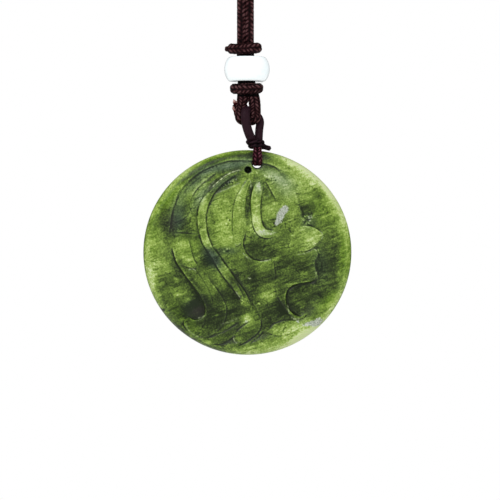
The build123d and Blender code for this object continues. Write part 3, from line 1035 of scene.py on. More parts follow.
# Cut lines: the side that falls away, seen while walking along the line, how deep and how far it falls, how
# high the other side rises, how deep the thin crease between them is, and the line
cutLines = {
    "upper border": ("right", 0.12, 1, 0, 0.06, [
        (-19, 3.6), (-18.8, 5.8), (-18.3, 9.2), (-17.5, 11.7), (-16.8, 14), (-15.8, 15.4), (-14.7, 16.8),
        (-12.9, 18.4), (-11, 19.6), (-9, 20.5), (-7.1, 21.3), (-4.8, 22), (-2.5, 22.1), (1, 22.1),
        (3.6, 21.4), (6.1, 20.8), (7.7, 20), (9.3, 19.2),
    ]),
    "border echo": ("right", 0.06, 0.8, 0.03, 0.04, [(-16.3, 13), (-15, 15), (-13, 17), (-10.5, 19)]),
    "mane edge": ("right", 0.4, 1.5, 0.02, 0.16, [
        (-18.4, 1.5), (-17.7, -0.8), (-17.2, -2.4), (-16, -4.3), (-14.7, -6.1), (-13.5, -7.7), (-12.2, -9.5),
        (-11.2, -11.2), (-10.5, -12.7), (-10.3, -14.1), (-10.6, -15.2), (-11.7, -16), (-12.9, -16.3),
        (-13.9, -15.8), (-14.8, -15.2),
    ]),
    "curl edge": ("right", 0.24, 0.7, 0.06, 0.16, [
        (-15.1, -15.8), (-15.4, -17.3), (-14.7, -18.7), (-13.6, -19.8), (-12, -20.8), (-10.5, -21.6),
        (-8.3, -22.4),
    ]),
    "lower lock edge": ("left", 0.14, 0.9, 0.03, 0.02, [
        (-10, -5.6), (-9, -7), (-7.4, -9.1), (-6.2, -10.9), (-5.3, -13), (-5.2, -15.1), (-6, -17.4),
        (-7.4, -19), (-9.2, -20.4), (-10.8, -20.8),
    ]),
    "curl strand top": ("left", 0.1, 0.7, 0.06, 0.05, [
        (-10.8, -20.9), (-8.3, -20.4), (-5.7, -19.3), (-3, -17.7), (-1.4, -16.4),
    ]),
    "curl strand foot": ("right", 0.2, 0.8, 0.03, 0.08, [
        (-10.6, -21.9), (-6.9, -22.2), (-3.9, -20.8), (-2.4, -18.8),
    ]),
    "curl fan": ("left", 0.05, 0.6, 0.02, 0.04, [(-10.3, -15.6), (-10.6, -17.3), (-11.8, -19)]),
    "upper crease": ("left", 0.2, 0.9, 0.12, 0.06, [
        (-7.2, 19.2), (-8.3, 18.7), (-10.1, 17.4), (-11.3, 16.3), (-12.4, 15.1), (-13.3, 13.7), (-13.9, 12.2),
    ]),
    "second crease": ("left", 0.08, 0.7, 0.05, 0.06, [
        (-5.6, 18.9), (-7.5, 17.7), (-9, 16.4), (-10.3, 14.8), (-11.2, 13.2),
    ]),
    "back crease": ("right", 0.08, 0.8, 0.02, 0.05, [(-18.3, 7), (-16.2, 7.7), (-14.6, 9), (-13.4, 11)]),
    "side step": ("left", 0.12, 1, 0.06, 0.05, [(-18.4, 4.3), (-16.2, 4.5), (-13.8, 4.3), (-12, 4.5)]),
    "side lock line": ("left", 0.12, 0.9, 0.07, 0.05, [
        (-14.4, 3.6), (-13.9, 1.4), (-13.4, -0.6), (-12.8, -2.1), (-11.9, -3.6),
    ]),
    "side lock end": ("right", 0.16, 0.9, 0.05, 0.06, [
        (-16.1, -2.9), (-14.6, -3.6), (-12.9, -3.9), (-12, -3.4),
    ]),
    "lower lock line": ("left", 0.06, 0.9, 0.02, 0.04, [
        (-12.6, -4.4), (-11.3, -6.2), (-10, -8.4), (-8.9, -10.6), (-8.4, -13),
    ]),
    "main lock inner": ("left", 0.24, 0.9, 0.03, 0.1, [
        (-2.4, 18.7), (-4.2, 17.7), (-5.9, 16.5), (-7.1, 15.4), (-8.3, 13.8), (-9.2, 12), (-9.8, 10.2),
        (-10.1, 8.4), (-10, 6.6), (-9.7, 4.4), (-9, 2.3), (-8.2, 0.8), (-7.2, -0.4), (-6, -2.2), (-4.2, -4.6),
        (-2.5, -7), (-0.7, -9.5), (0.2, -11.2), (0.8, -13),
    ]),
    "main lock outer": ("right", 0.2, 1, 0.12, 0.08, [
        (-0.9, 19.9), (-3, 19.5), (-4.8, 18.6), (-6, 17.7), (-7.5, 16.4), (-9, 14.9), (-10.8, 12.9),
        (-11.7, 11), (-12, 9.4), (-12.1, 7.6), (-11.9, 5.8), (-11.3, 3.5), (-10.7, 1.8), (-9, -0.7),
        (-7.4, -3.5), (-6, -5.7), (-4.2, -8), (-2.5, -10.2), (-1.3, -12),
    ]),
    "pocket foot": ("left", 0.1, 0.9, 0.06, 0.05, [(-7.8, 14.2), (-6, 14.9), (-3, 16.1), (-1.2, 17)]),
    "wedge line": ("right", 0.12, 0.9, 0.04, 0.07, [
        (0.5, 18.2), (-0.5, 16.8), (-1.4, 15.4), (-2.5, 13.8), (-3.1, 12), (-3.5, 9.7), (-3.6, 6.7),
        (-3.4, 4.4), (-3.1, 2.3),
    ]),
    "wedge end": ("right", 0.1, 0.7, 0.05, 0.06, [
        (-3.3, 1.8), (-2.5, 1.5), (-1.4, 2.4), (-0.9, 3.6), (-0.4, 5.2),
    ]),
    "fore lock right": ("left", 0.22, 1.1, 0.04, 0.1, [
        (3.8, 16.5), (3.5, 14.3), (3.1, 11.7), (3.1, 9.4), (3.4, 7.2), (4.1, 5.8), (5.6, 5.2), (6.8, 5.3),
    ]),
    "fore lock left": ("right", 0.3, 1, 0.05, 0.12, [
        (1.8, 16.8), (1.1, 14.7), (0.7, 12), (0.9, 9.4), (1.2, 6.9), (2, 4.9), (3.2, 3.7), (5.2, 3.4),
        (7, 4.3),
    ]),
    "ear line": ("right", 0.14, 0.9, 0.07, 0.08, [
        (4, 17.2), (4.8, 16.4), (5.6, 14.9), (6.4, 13.4), (7.4, 11.8),
    ]),
    "cheek": ("left", 0.26, 1.1, 0.1, 0.03, [
        (-0.4, 4.6), (-1, 3), (-1.1, 1.5), (-0.5, 0), (0.6, -1.3), (2, -2), (3.8, -2.2), (5.6, -1.7),
    ]),
    "nostril under": ("left", 0.12, 1.2, 0.1, 0.03, [
        (18.2, 3.6), (17.1, 2.6), (16.2, 1.5), (14.8, 0.5), (12.8, 0.2), (10.8, -0.4),
    ]),
    "nose top": ("left", 0.14, 1.8, 0.08, 0.03, [(11.8, 6), (14.4, 6.3), (16.6, 5.6), (18.2, 4)]),
    "mouth": ("left", 0.1, 1.6, 0.03, 0.1, [
        (16.2, 1.2), (17, -0.6), (16.4, -1.8), (16.2, -2.9), (16.6, -4.3), (16.9, -5.6), (16.7, -6.5),
    ]),
    "throat": ("left", 0.34, 1.2, 0.03, 0.22, [
        (16.9, -6.2), (16, -6.9), (14.4, -7.3), (12.1, -7.7), (10.7, -8.2), (9.6, -9.3), (9.2, -10.9),
        (9.5, -12.8), (10.2, -14.1), (11.4, -15.1), (12.6, -15.5), (13.6, -15.2),
    ]),
    "throat rim": ("right", 0.14, 0.9, 0.04, 0.05, [
        (6.6, -7.6), (7.2, -10.4), (8.2, -12.3), (9.3, -13.9), (10.4, -15.4), (11.8, -16.1), (13.4, -15.9),
        (14.3, -14.8),
    ]),
    "patch end": ("left", 0.08, 0.8, 0.04, 0.05, [(6.2, -2), (6.4, -3.6), (6.6, -5.4), (6.5, -7)]),
    "lens right": ("left", 0.18, 0.6, 0.05, 0.1, [
        (3.1, -15.7), (3.2, -17.6), (2.6, -19.2), (1.1, -20.6), (-0.7, -21.8), (-2.7, -22.6),
    ]),
    "lens echo": ("left", 0.06, 0.7, 0.02, 0.08, [(4.2, -17.4), (3.6, -19), (2.5, -20.5), (0.2, -22.1)]),
    "lens left": ("left", 0.12, 0.7, 0.05, 0.08, [
        (-3.2, -22.2), (-3.4, -20.6), (-2.3, -18.9), (-0.6, -17.5), (1, -16.6),
    ]),
    "leaf top": ("left", 0.14, 1, 0.08, 0.04, [(4.8, -19.3), (6.4, -17.4), (9.3, -16.5), (12.4, -16.8)]),
    "leaf foot": ("right", 0.08, 0.8, 0.04, 0.03, [(4.4, -19.3), (7.3, -20.1), (10.3, -19.6), (12.9, -18)]),
    "neck line": ("right", 0.06, 0.7, 0.02, 0.04, [(0.6, -11.5), (2, -13.4), (2.9, -15.4), (3.2, -16.6)]),
    "brow line": ("left", 0.06, 1.8, 0, 0, [(10, 17.9), (11.4, 15), (11.8, 13.3), (12.5, 11.1), (12.9, 9)]),
}

# Narrow grooves: half width, depth and line
grooves = {
    "fore groove": (0.75, 0.42, [
        (2.2, 18.6), (1.3, 16.6), (0.5, 14.7), (0.1, 12.2), (-0.1, 9.7), (0.1, 7), (0.7, 5.2),
    ]),
    "ear wedge": (0.8, 0.2, [(4.3, 16.4), (4.5, 14.8), (4.4, 13)]),
    "jaw crease": (1, 0.08, [(6.5, 4), (8.5, 2.2), (10.2, 0.9)]),
}

# Soft swellings and hollows: across, up, half width, half height, turn in degrees and height
swells = {
    "neck": (-6.2, 8, 2.8, 6.4, 0, 0.16),
    "stippled pocket": (-4.6, 16.4, 3.2, 0.7, 27, -0.16),
    "light side lock": (-15.8, 0.8, 1.6, 3.2, 10, 0.12),
    "inner side lock": (-12.2, 1.2, 1.1, 2.8, 10, 0.04),
    "outer lower lock": (-11.2, -8, 1.4, 4.2, 28, 0.1),
    "cheek hollow": (2.4, 1.2, 3.2, 2.2, 0, -0.22),
    "throat pocket": (13.4, -11.3, 3.8, 3.2, 0, -0.2),
    "cheek": (7.5, -2.5, 4.5, 3, 0, 0.08),
    "muzzle": (14.7, 3.4, 2.8, 1.9, 0, 0.22),
    "lower neck": (4.7, -10.4, 2, 2.2, 0, 0.08),
    "lower left pit": (-12.4, -13.6, 2, 2, 0, -0.2),
    "leaf": (8.8, -18.2, 3.4, 1.1, 6, 0.18),
    "forehead": (8.3, 14.5, 2.6, 3, 0, 0.12),
    "bridge": (9.8, 6.5, 2.2, 3.4, 30, 0.08),
}

carving = {
    "figureEdge": 1.0,  # width of the figure's step down to the ground
    "lockReach": 3.0,
    "lockEnds": 0.16,  # share of a lock over which its ends are pointed
    "lockTip": 0.02,
    "lockCover": 1.15,  # a lock reaches this much beyond its half width
    "lockSoft": 0.35,
    "lockFade": 2.2,
    "cutFade": 1.8,
    "cutStep": 0.26,  # width of the step from a cut line's low side to its high one
    "riseReach": 0.5,
    "creaseAt": 0.12,
    "creaseWidth": 0.17,
    "grooveFade": 0.25,
    "longestFade": 0.2,
    "waves": [(0.35, 0.8, 1.7), (0.3, 2.1, 3.1)],  # a ridge and its crease are stronger in some places
    "mouths": {"stringHole": 0.35, "blindHole": 0.12},  # how far the face sinks in round each hole
    "mouthSink": 0.18,
    "rimEnd": disc["carved"] - 0.1,  # the carving fades out before the grid's border
    "rimFade": 0.7,
}

# Painted highlights where the polished stone glints on the sharpest ridges: strength and line
glints = {
    "half": 0.11,
    "fade": 0.25,
    "waves": [(0.6, 5.3, 1.0)],
    "strength": 0.9,
    "speckShare": 1.6,
    "color": srgb(206, 224, 166),
}
glintLines = {
    "main lock crest": (1, [
        (-0.8, 19.9), (-2.8, 19.6), (-4.9, 18.7), (-6.5, 17.5), (-8.1, 16.1), (-9.2, 14.8),
    ]),
    "upper crease": (0.4, [(-7.9, 19.1), (-9.7, 17.7), (-11.3, 16.4), (-12.7, 14.8), (-13.6, 13.2)]),
    "second crease": (0.3, [(-7.6, 17.5), (-9, 16.2), (-10, 14.8)]),
    "wedge": (0.4, [(-0.1, 17.7), (-1.2, 15.9), (-2.2, 13.5)]),
    "pocket foot": (0.3, [(-8.4, 13.9), (-4.9, 15.3), (-0.9, 17.3)]),
    "wedge end": (0.35, [(-3.2, 2.2), (-2.6, 1.6), (-1.6, 2.3)]),
    "fore groove": (0.6, [(0.6, 17.4), (0.8, 16.3), (0.7, 15.4)]),
    "fore lock left": (0.3, [(1.1, 8.8), (1.5, 6), (2.7, 4.1)]),
    "nose tip": (0.4, [(17.1, 5.4), (17.9, 4.6), (18.1, 3.7), (17.5, 2.9)]),
    "under the muzzle": (0.35, [(11.4, -0.7), (14.2, -0.2), (16.2, 1.1)]),
    "side lock end": (0.35, [(-14.5, -4.8), (-13.8, -4.1), (-12.9, -4.2), (-12.4, -5.1)]),
    "main lock foot": (0.65, [(-3, -9.3), (-2.4, -10.2), (-1.7, -11)]),
    "curl": (0.4, [(-12.2, -16), (-11, -15.7), (-10.3, -15.2)]),
    "curl edge": (0.25, [(-14.9, -16.6), (-14.5, -18.4), (-13.3, -19.7), (-11.6, -20.5), (-9.8, -21)]),
    "lens left": (0.45, [(-3.5, -19.9), (-3.3, -21.2), (-2.5, -22.2)]),
    "curl strand": (0.2, [(-7, -17.5), (-4.4, -16.8), (-1.8, -15.7)]),
    "neck fleck": (0.55, [(-0.1, -6), (0.4, -6.4), (0.9, -6.1)]),
    "cheek left": (0.4, [(-1.4, 0.1), (-0.3, -1.1), (1.1, -1.9)]),
    "cheek right": (0.6, [(2.8, -2.3), (4.5, -2.1), (5.8, -1.7)]),
    "throat rim": (0.5, [(9.6, -12.6), (9.8, -13.8), (10.2, -15)]),
    "throat foot": (0.65, [(10.3, -15.5), (10.9, -16), (11.8, -16.2), (12.7, -16)]),
    "lip": (0.25, [(16.2, -4.1), (16.5, -5.4), (16.3, -6.4)]),
    "mouth fleck": (0.5, [(15.7, 0.9), (16.7, 0.3)]),
}

# Small chisel pits and chips, painted as specks light and dark by turns, the light ones as painted glints:
# across, up, half width, half height, turn and count
stipples = {"seed": 11, "scatter": 0.6, "size": 0.15, "sizeRange": (0.7, 1.4), "tone": 1.7}
stippleSpots = {
    "pocket": (-4.6, 16.6, 2.6, 0.5, 27, 44),
    "neck": (-4.6, 7.3, 0.8, 1.2, 0, 14),
    "below the neck": (-5, 0.6, 1.3, 0.5, 0, 18),
    "poll": (5.1, 17.8, 2.2, 0.9, -20, 30),
    "brow": (14.2, 8.2, 0.8, 1.6, 0, 36),
    "jaw": (11.2, 5.6, 1.6, 1.4, 40, 12),
    "upper mouth": (16.9, -0.1, 0.4, 0.7, 0, 12),
    "lower mouth": (16.6, -4.2, 0.2, 1.2, 0, 12),
    "top border": (-8.1, 20.6, 1.4, 0.4, 20, 14),
    "dark lock": (-17.6, 6, 1, 0.8, 0, 12),
    "lower neck": (1, -12.6, 1.6, 1.4, 0, 10),
    "main lock foot": (-1.4, -11.6, 0.8, 0.8, 0, 10),
    "patch end": (7.2, -3.8, 0.5, 0.6, 0, 5),
}


def roundedLine(points, closed=False):
    # a smooth line through the given points
    steps = 7
    points = [np.array(point, dtype=float) for point in points]
    count = len(points)
    line = []
    for index in range(count if closed else count - 1):
        if closed:
            before, start, end, after = (points[(index + shift) % count] for shift in (-1, 0, 1, 2))
        else:
            start, end = points[index], points[index + 1]
            before = points[index - 1] if index else 2 * start - end
            after = points[index + 2] if index + 2 < count else 2 * end - start
        for step in range(steps):
            t = step / steps
            bend = (2 * before - 5 * start + 4 * end - after) * t**2
            bend = bend + (3 * start - before - 3 * end + after) * t**3
            line.append(0.5 * (2 * start + (end - before) * t + bend))
    if not closed:
        line.append(points[-1])
    return np.array(line)


def nearLine(line, x, z):
    # signed distance, left positive, and the share along the line of its nearest point
    lengths = lineLengths(line)
    best = np.full(x.shape, 1e9)
    signed, share = np.zeros(x.shape), np.zeros(x.shape)
    for index, length in enumerate(np.linalg.norm(np.diff(line, axis=0), axis=1)):
        start, along = line[index], (line[index + 1] - line[index]) / length
        t = np.clip((x - start[0]) * along[0] + (z - start[1]) * along[1], 0, length)
        dx, dz = x - start[0] - t * along[0], z - start[1] - t * along[1]
        far = np.hypot(dx, dz)
        near = far < best
        best = np.where(near, far, best)
        signed = np.where(near, np.copysign(far, along[0] * dz - along[1] * dx), signed)
        share = np.where(near, (lengths[index] + t) / lengths[-1], share)
    return signed, share


def aroundLine(points, x, z, reach):
    # a rounded line's length, the part of the grid within reach of it, and there its distance and share
    line = roundedLine(points)
    low, high = line.min(axis=0) - reach, line.max(axis=0) + reach
    area = (x > low[0]) & (x < high[0]) & (z > low[1]) & (z < high[1])
    return lineLengths(line)[-1], area, *nearLine(line, x[area], z[area])


def inside(outline, x, z):
    # distance inside a closed outline, negative outside
    line = roundedLine(outline, closed=True)
    line = np.vstack([line, line[:1]])
    signed, _ = nearLine(line, x, z)
    odd = np.zeros(x.shape, dtype=bool)
    for (startX, startZ), (endX, endZ) in zip(line[:-1], line[1:]):
        crosses = (startZ > z) != (endZ > z)
        slope = (endX - startX) / (endZ - startZ) if endZ != startZ else 0.0
        odd ^= crosses & (x < startX + slope * (z - startZ))
    return np.where(odd, np.abs(signed), -np.abs(signed))


def endFade(share, fade):
    return smoothStep(share / fade) * smoothStep((1 - share) / fade)


def softSpot(x, z, midX, midZ, wide, high, turn):
    # 1 in the middle of a turned oval, and softly 0 outside it
    strength, power = 0.7, 1.3
    turn = math.radians(turn)
    across = (x - midX) * math.cos(turn) + (z - midZ) * math.sin(turn)
    up = (z - midZ) * math.cos(turn) - (x - midX) * math.sin(turn)
    return np.exp(-strength * ((across / wide) ** 2 + (up / high) ** 2) ** power)


def summedSpots(spots, x, z):
    return sum(amount * softSpot(x, z, *oval) for *oval, amount in spots)


def addLock(height, x, z, crest, fall, halves, points):
    length, area, signed, share = aroundLine(points, x, z, carving["lockReach"])
    half = np.interp(share, np.linspace(0, 1, len(halves)), halves)
    fromEnd = np.minimum(share, 1 - share) / carving["lockEnds"]
    half = half * np.sqrt(np.clip(fromEnd, carving["lockTip"], 1))
    over = np.abs(signed) / half
    cover = smoothStep((carving["lockCover"] - over) / carving["lockSoft"])
    cover = cover * endFade(share, min(carving["longestFade"], carving["lockFade"] / length))
    height[area] += cover * np.maximum(crest - fall * over**2 - height[area], 0)


def addCut(height, x, z, order, low, depth, reach, rise, crease, points):
    length, area, signed, share = aroundLine(points, x, z, 3 * reach + 0.5)
    lowSide = signed if low == "left" else -signed
    fallen = -depth * np.exp(-np.maximum(lowSide, 0) / reach)
    risen = rise * np.exp(np.minimum(lowSide, 0) / carving["riseReach"])
    mixed = smoothStep(0.5 + lowSide / carving["cutStep"])
    groove = crease * np.exp(-(((lowSide - carving["creaseAt"]) / carving["creaseWidth"]) ** 2))
    uneven = 1 + slowWaves(share * length, order, carving["waves"])
    cut = mixed * fallen + (1 - mixed) * risen * uneven - groove * uneven
    height[area] += cut * endFade(share, min(carving["longestFade"], carving["cutFade"] / length))


def carvedHeight(x, z):
    # the face's height against the rim, which is at 0
    angle = np.degrees(np.arctan2(z, x)) % 360
    feather = np.interp(angle, groundFeather["angle"], groundFeather["width"])
    height = -disc["groundDepth"] * smoothStep(inside(groundOutline, x, z) / feather)
    figure = smoothStep(0.5 + inside(figureOutline, x, z) / carving["figureEdge"])
    height = height + figure * (np.maximum(height, figureLevel) - height)
    height += summedSpots(swells.values(), x, z)
    for crest, fall, halves, points in maneLocks.values():
        addLock(height, x, z, crest, fall, halves, points)
    for order, cut in enumerate(cutLines.values()):
        addCut(height, x, z, order, *cut)
    for half, depth, points in grooves.values():
        _, area, signed, share = aroundLine(points, x, z, 1.5 * half)
        hollow = np.clip(1 - (signed / half) ** 2, 0, 1) * endFade(share, carving["grooveFade"])
        height[area] -= depth * hollow
    for name, lip in carving["mouths"].items():
        holeX, holeZ, holeRadius = disc[name]
        off = np.hypot(x - holeX, z - holeZ) - holeRadius
        height -= carving["mouthSink"] * np.exp(-np.clip(off, 0, None) / lip)
    return height * smoothStep((carving["rimEnd"] - np.hypot(x, z)) / carving["rimFade"])


def blurred(grid, width):
    reach = int(width / rasterStep)
    kernel = np.exp(-0.5 * (np.arange(-3 * reach, 3 * reach + 1) / reach) ** 2)
    kernel /= kernel.sum()
    grid = np.pad(grid, 3 * reach, mode="edge")
    for axis in (1, 0):
        grid = np.apply_along_axis(np.convolve, axis, grid, kernel, "valid")
    return grid


def readGrid(grid, x, z):
    column = np.clip((x + rasterReach) / rasterStep, 0, grid.shape[1] - 1.001)
    row = np.clip((z + rasterReach) / rasterStep, 0, grid.shape[0] - 1.001)
    c, r = column.astype(int), row.astype(int)
    u, v = column - c, row - r
    return ((grid[r, c] * (1 - u) + grid[r, c + 1] * u) * (1 - v)
            + (grid[r + 1, c] * (1 - u) + grid[r + 1, c + 1] * u) * v)


# How dark the painted shade in the carving's hollows is and how pale the painted highlights on its ridges,
# from the height against its own blurred copy
shading = {
    "fineBlur": 0.26,
    "fine": 3.0,
    "fineRidge": 0.6,
    "wideBlur": 0.85,
    "wide": 0.4,
    "wideRidge": 0.7,
    "unevenMiddle": 1.05,  # no crease is evenly dark
    "uneven": 0.55,
    "paleSpot": (-3, 9, 10, 8, 0, 0.42),  # in the clear stone here the hollows aren't black
}


def wanderingWaves(x, z):
    # a soft patchwork from -1 to 1
    return np.sin(0.95 * x + 1.5 * np.sin(0.55 * z)) * np.sin(0.85 * z + 1.1 * np.sin(0.6 * x) + 1.3)


def carveFace():
    marks = np.arange(-rasterReach, rasterReach, rasterStep)
    x, z = np.meshgrid(marks, marks)
    height = carvedHeight(x, z)
    # the second grid is painted shade in the hollows and painted highlights on the ridges
    near = height - blurred(height, shading["fineBlur"])
    wide = height - blurred(height, shading["wideBlur"])
    uneven = shading["unevenMiddle"] + shading["uneven"] * wanderingWaves(x, z)
    paler = 1 - summedSpots([shading["paleSpot"]], x, z)
    sharp = shading["fine"] * np.where(near > 0, shading["fineRidge"] * near, near) * uneven * paler
    return height, sharp + shading["wide"] * np.where(wide > 0, shading["wideRidge"] * wide, wide)


def edgeDrop(radius):
    # how far the rounded edge falls back from the face's plane
    over = np.clip((radius - disc["flat"]) / (disc["radius"] - disc["flat"]), 0, 1)
    return (disc["halfThickness"] - disc["edgeSide"]) * (1 - np.sqrt(1 - over**2))


def faceGrid(heights):
    # a square grid bent to the face's circle, with its faces and the points of its border in order
    count = disc["grid"]
    row = count + 1
    side = np.linspace(-1, 1, row)
    a, b = np.meshgrid(side, side, indexing="ij")
    wide = np.abs(a) > np.abs(b)
    radius = np.where(wide, a, b)
    safeA, safeB = np.where(a == 0, 1, a), np.where(b == 0, 1, b)
    angle = np.where(wide, np.pi / 4 * b / safeA, np.pi / 2 - np.pi / 4 * a / safeB)
    angle = np.where((a == 0) & (b == 0), 0, angle)
    x, z = disc["carved"] * radius * np.cos(angle), disc["carved"] * radius * np.sin(angle)
    y = edgeDrop(np.hypot(x, z)) - disc["halfThickness"] - readGrid(heights, x, z)
    starts = [i * row + j for i in range(count) for j in range(count)]
    faces = [(start + 1, start + row + 1, start + row, start) for start in starts]
    border = [i * row for i in range(count)] + [count * row + j for j in range(count)]
    border += [i * row + count for i in range(count, 0, -1)] + list(range(count, 0, -1))
    return np.stack([x, y, z], axis=-1).reshape(-1, 3), faces, border


def rimRings():
    # radius and depth of each ring from the face's border round the edge and over the back
    bulge, depth = disc["radius"] - disc["flat"], disc["halfThickness"] - disc["edgeSide"]
    start = math.asin((disc["carved"] - disc["flat"]) / bulge)
    rings = []
    for turn in np.linspace(start, math.pi / 2, disc["frontRings"])[1:]:
        rings.append((disc["flat"] + bulge * math.sin(turn), -disc["edgeSide"] - depth * math.cos(turn)))
    for turn in np.linspace(math.pi / 2, 0, disc["edgeRings"]):
        rings.append((disc["flat"] + bulge * math.sin(turn), disc["edgeSide"] + depth * math.cos(turn)))
    return rings + [(share * disc["flat"], disc["halfThickness"]) for share in disc["backRings"]]


def discBody(heights):
    face, faces, before = faceGrid(heights)
    rim = face[before]
    away = rim[:, [0, 2]] / np.linalg.norm(rim[:, [0, 2]], axis=1)[:, None]
    around = len(before)
    points, total = [face], len(face)
    for radius, level in rimRings():
        points.append(np.stack([away[:, 0] * radius, np.full(around, level), away[:, 1] * radius], axis=1))
        here = list(range(total, total + around))
        total += around
        for index in range(around):
            after = (index + 1) % around
            faces.append((here[index], here[after], before[after], before[index]))
        before = here
    points = np.concatenate([*points, [[0.0, disc["halfThickness"], 0.0]]])
    faces += [(total, before[(index + 1) % around], before[index]) for index in range(around)]
    near = smoothStep((np.hypot(points[:, 0], points[:, 2]) - disc["trueInside"]) / disc["trueFade"])
    points[:, 0] += near * (points[:, 0] * disc["wider"] + disc["shiftX"])
    points[:, 2] += near * (points[:, 2] * disc["lower"] + disc["shiftZ"])
    return points, faces


def drill(stone, holeX, holeZ, profile):
    # the profile is how wide the hole is at each depth, from in front of the face to its end
    sides = disc["holeSides"]
    points = []
    for y, radius in profile:
        for index in range(sides):
            angle = 2 * math.pi * index / sides
            points.append((holeX + radius * math.cos(angle), y, holeZ + radius * math.sin(angle)))
    last = (len(profile) - 1) * sides
    faces = [tuple(range(sides)), tuple(range(last + sides - 1, last - 1, -1))]
    for start in range(0, last, sides):
        for index in range(sides):
            here, after = start + index, start + (index + 1) % sides
            faces.append((here, here + sides, after + sides, after))
    cutter = makeObject("drill", points, faces)
    modifier = stone.modifiers.new("hole", "BOOLEAN")
    modifier.operation = "DIFFERENCE"
    modifier.solver = "EXACT"
    modifier.object = cutter
    bpy.context.view_layer.update()
    shaped = bpy.data.meshes.new_from_object(stone.evaluated_get(bpy.context.evaluated_depsgraph_get()))
    stone.modifiers.clear()
    stone.data = shaped
    bpy.data.objects.remove(cutter)


# Jade disc: colour of the stone

jade = {
    "colors": [
        (0.0, srgb(30, 42, 16)), (0.2, srgb(54, 70, 28)), (0.42, srgb(90, 114, 42)),
        (0.62, srgb(130, 158, 64)), (0.8, srgb(170, 194, 104)), (1.0, srgb(208, 222, 162)),
    ],
    "blueColors": [(0.0, srgb(34, 50, 34)), (0.5, srgb(90, 112, 84)), (1.0, srgb(162, 178, 152))],
    "limeColors": [(0.0, srgb(34, 50, 4)), (0.5, srgb(104, 140, 22)), (1.0, srgb(190, 216, 100))],
    "duskColor": srgb(50, 47, 43),
    "whiteColors": [(0.2, srgb(134, 146, 126)), (0.5, srgb(174, 182, 166)), (0.8, srgb(204, 210, 196))],
    "grain": {"Cloud Scale": 340.0, "Fibre Scale": 1500.0, "Fibre Turn": 0.36},
    "middle": 0.41,  # place in the colours where there is no cloud, and below how far each effect moves it
    "toneShare": 0.42,
    "cloudShare": 0.42,
    "streakInCloud": 0.7,
    "speckShare": 0.38,
    "veinShare": -0.38,
    "cavityShare": 1.1,
    "whiteSpeck": 0.55,
    "whiteFibre": 0.3,
    "whiteSharpness": 3.0,
    "whiteFrom": -1.1,
    "whiteMottle": 0.9,
    "roughness": 0.34,
    "roughSpeck": 0.12,
    "bumpFibre": 0.5,
    "bump": 0.25,
    "bumpDistance": 0.00015,
    "polish": {
        "IOR": 1.6,
        "Specular IOR Level": 0.26,
        "Subsurface Weight": 0.12,
        "Subsurface Radius": (0.6, 1.0, 0.4),
        "Subsurface Scale": 0.001,
    },
    "backTone": 0.4,  # how much of the clouds and of the white patches shows on the back
    "backWhite": 0.3,
    "streakLeast": 0.24,
    "streakMore": 0.2,  # towards the lower right
    "streakFrom": -4.8,
    "streakOver": 24.0,
    # painted shade inside the holes, from below the face and a little beyond their radius
    "boreTone": -1.6,
    "boreFrom": 0.3,  # below the face
    "boreMargin": 0.02,
}
# painted light along the rim, where it is lit through its thin edge, and painted shade on its outermost edge
rimLight = {  # the rim is lit through its thin edge: tone by the angle from the right, anticlockwise
    "from": 23.2,
    "over": 1.1,
    "angle": [-180, -150, -130, -100, -50, -30, -10, 10, 40, 70, 100, 125, 150, 180],
    "tone": [0.2, 0.3, 0.0, 0.1, 0.6, 0.5, 0.5, 0.2, 0.65, 0.25, 1.1, 0.9, 0.45, 0.2],
    "edgeFrom": 24.6,  # and its outermost edge is darker
    "edgeOver": 0.4,
    "edgeHalf": 2.6,
    "edgeFade": 1.4,
    "edgeTone": -0.3,
}
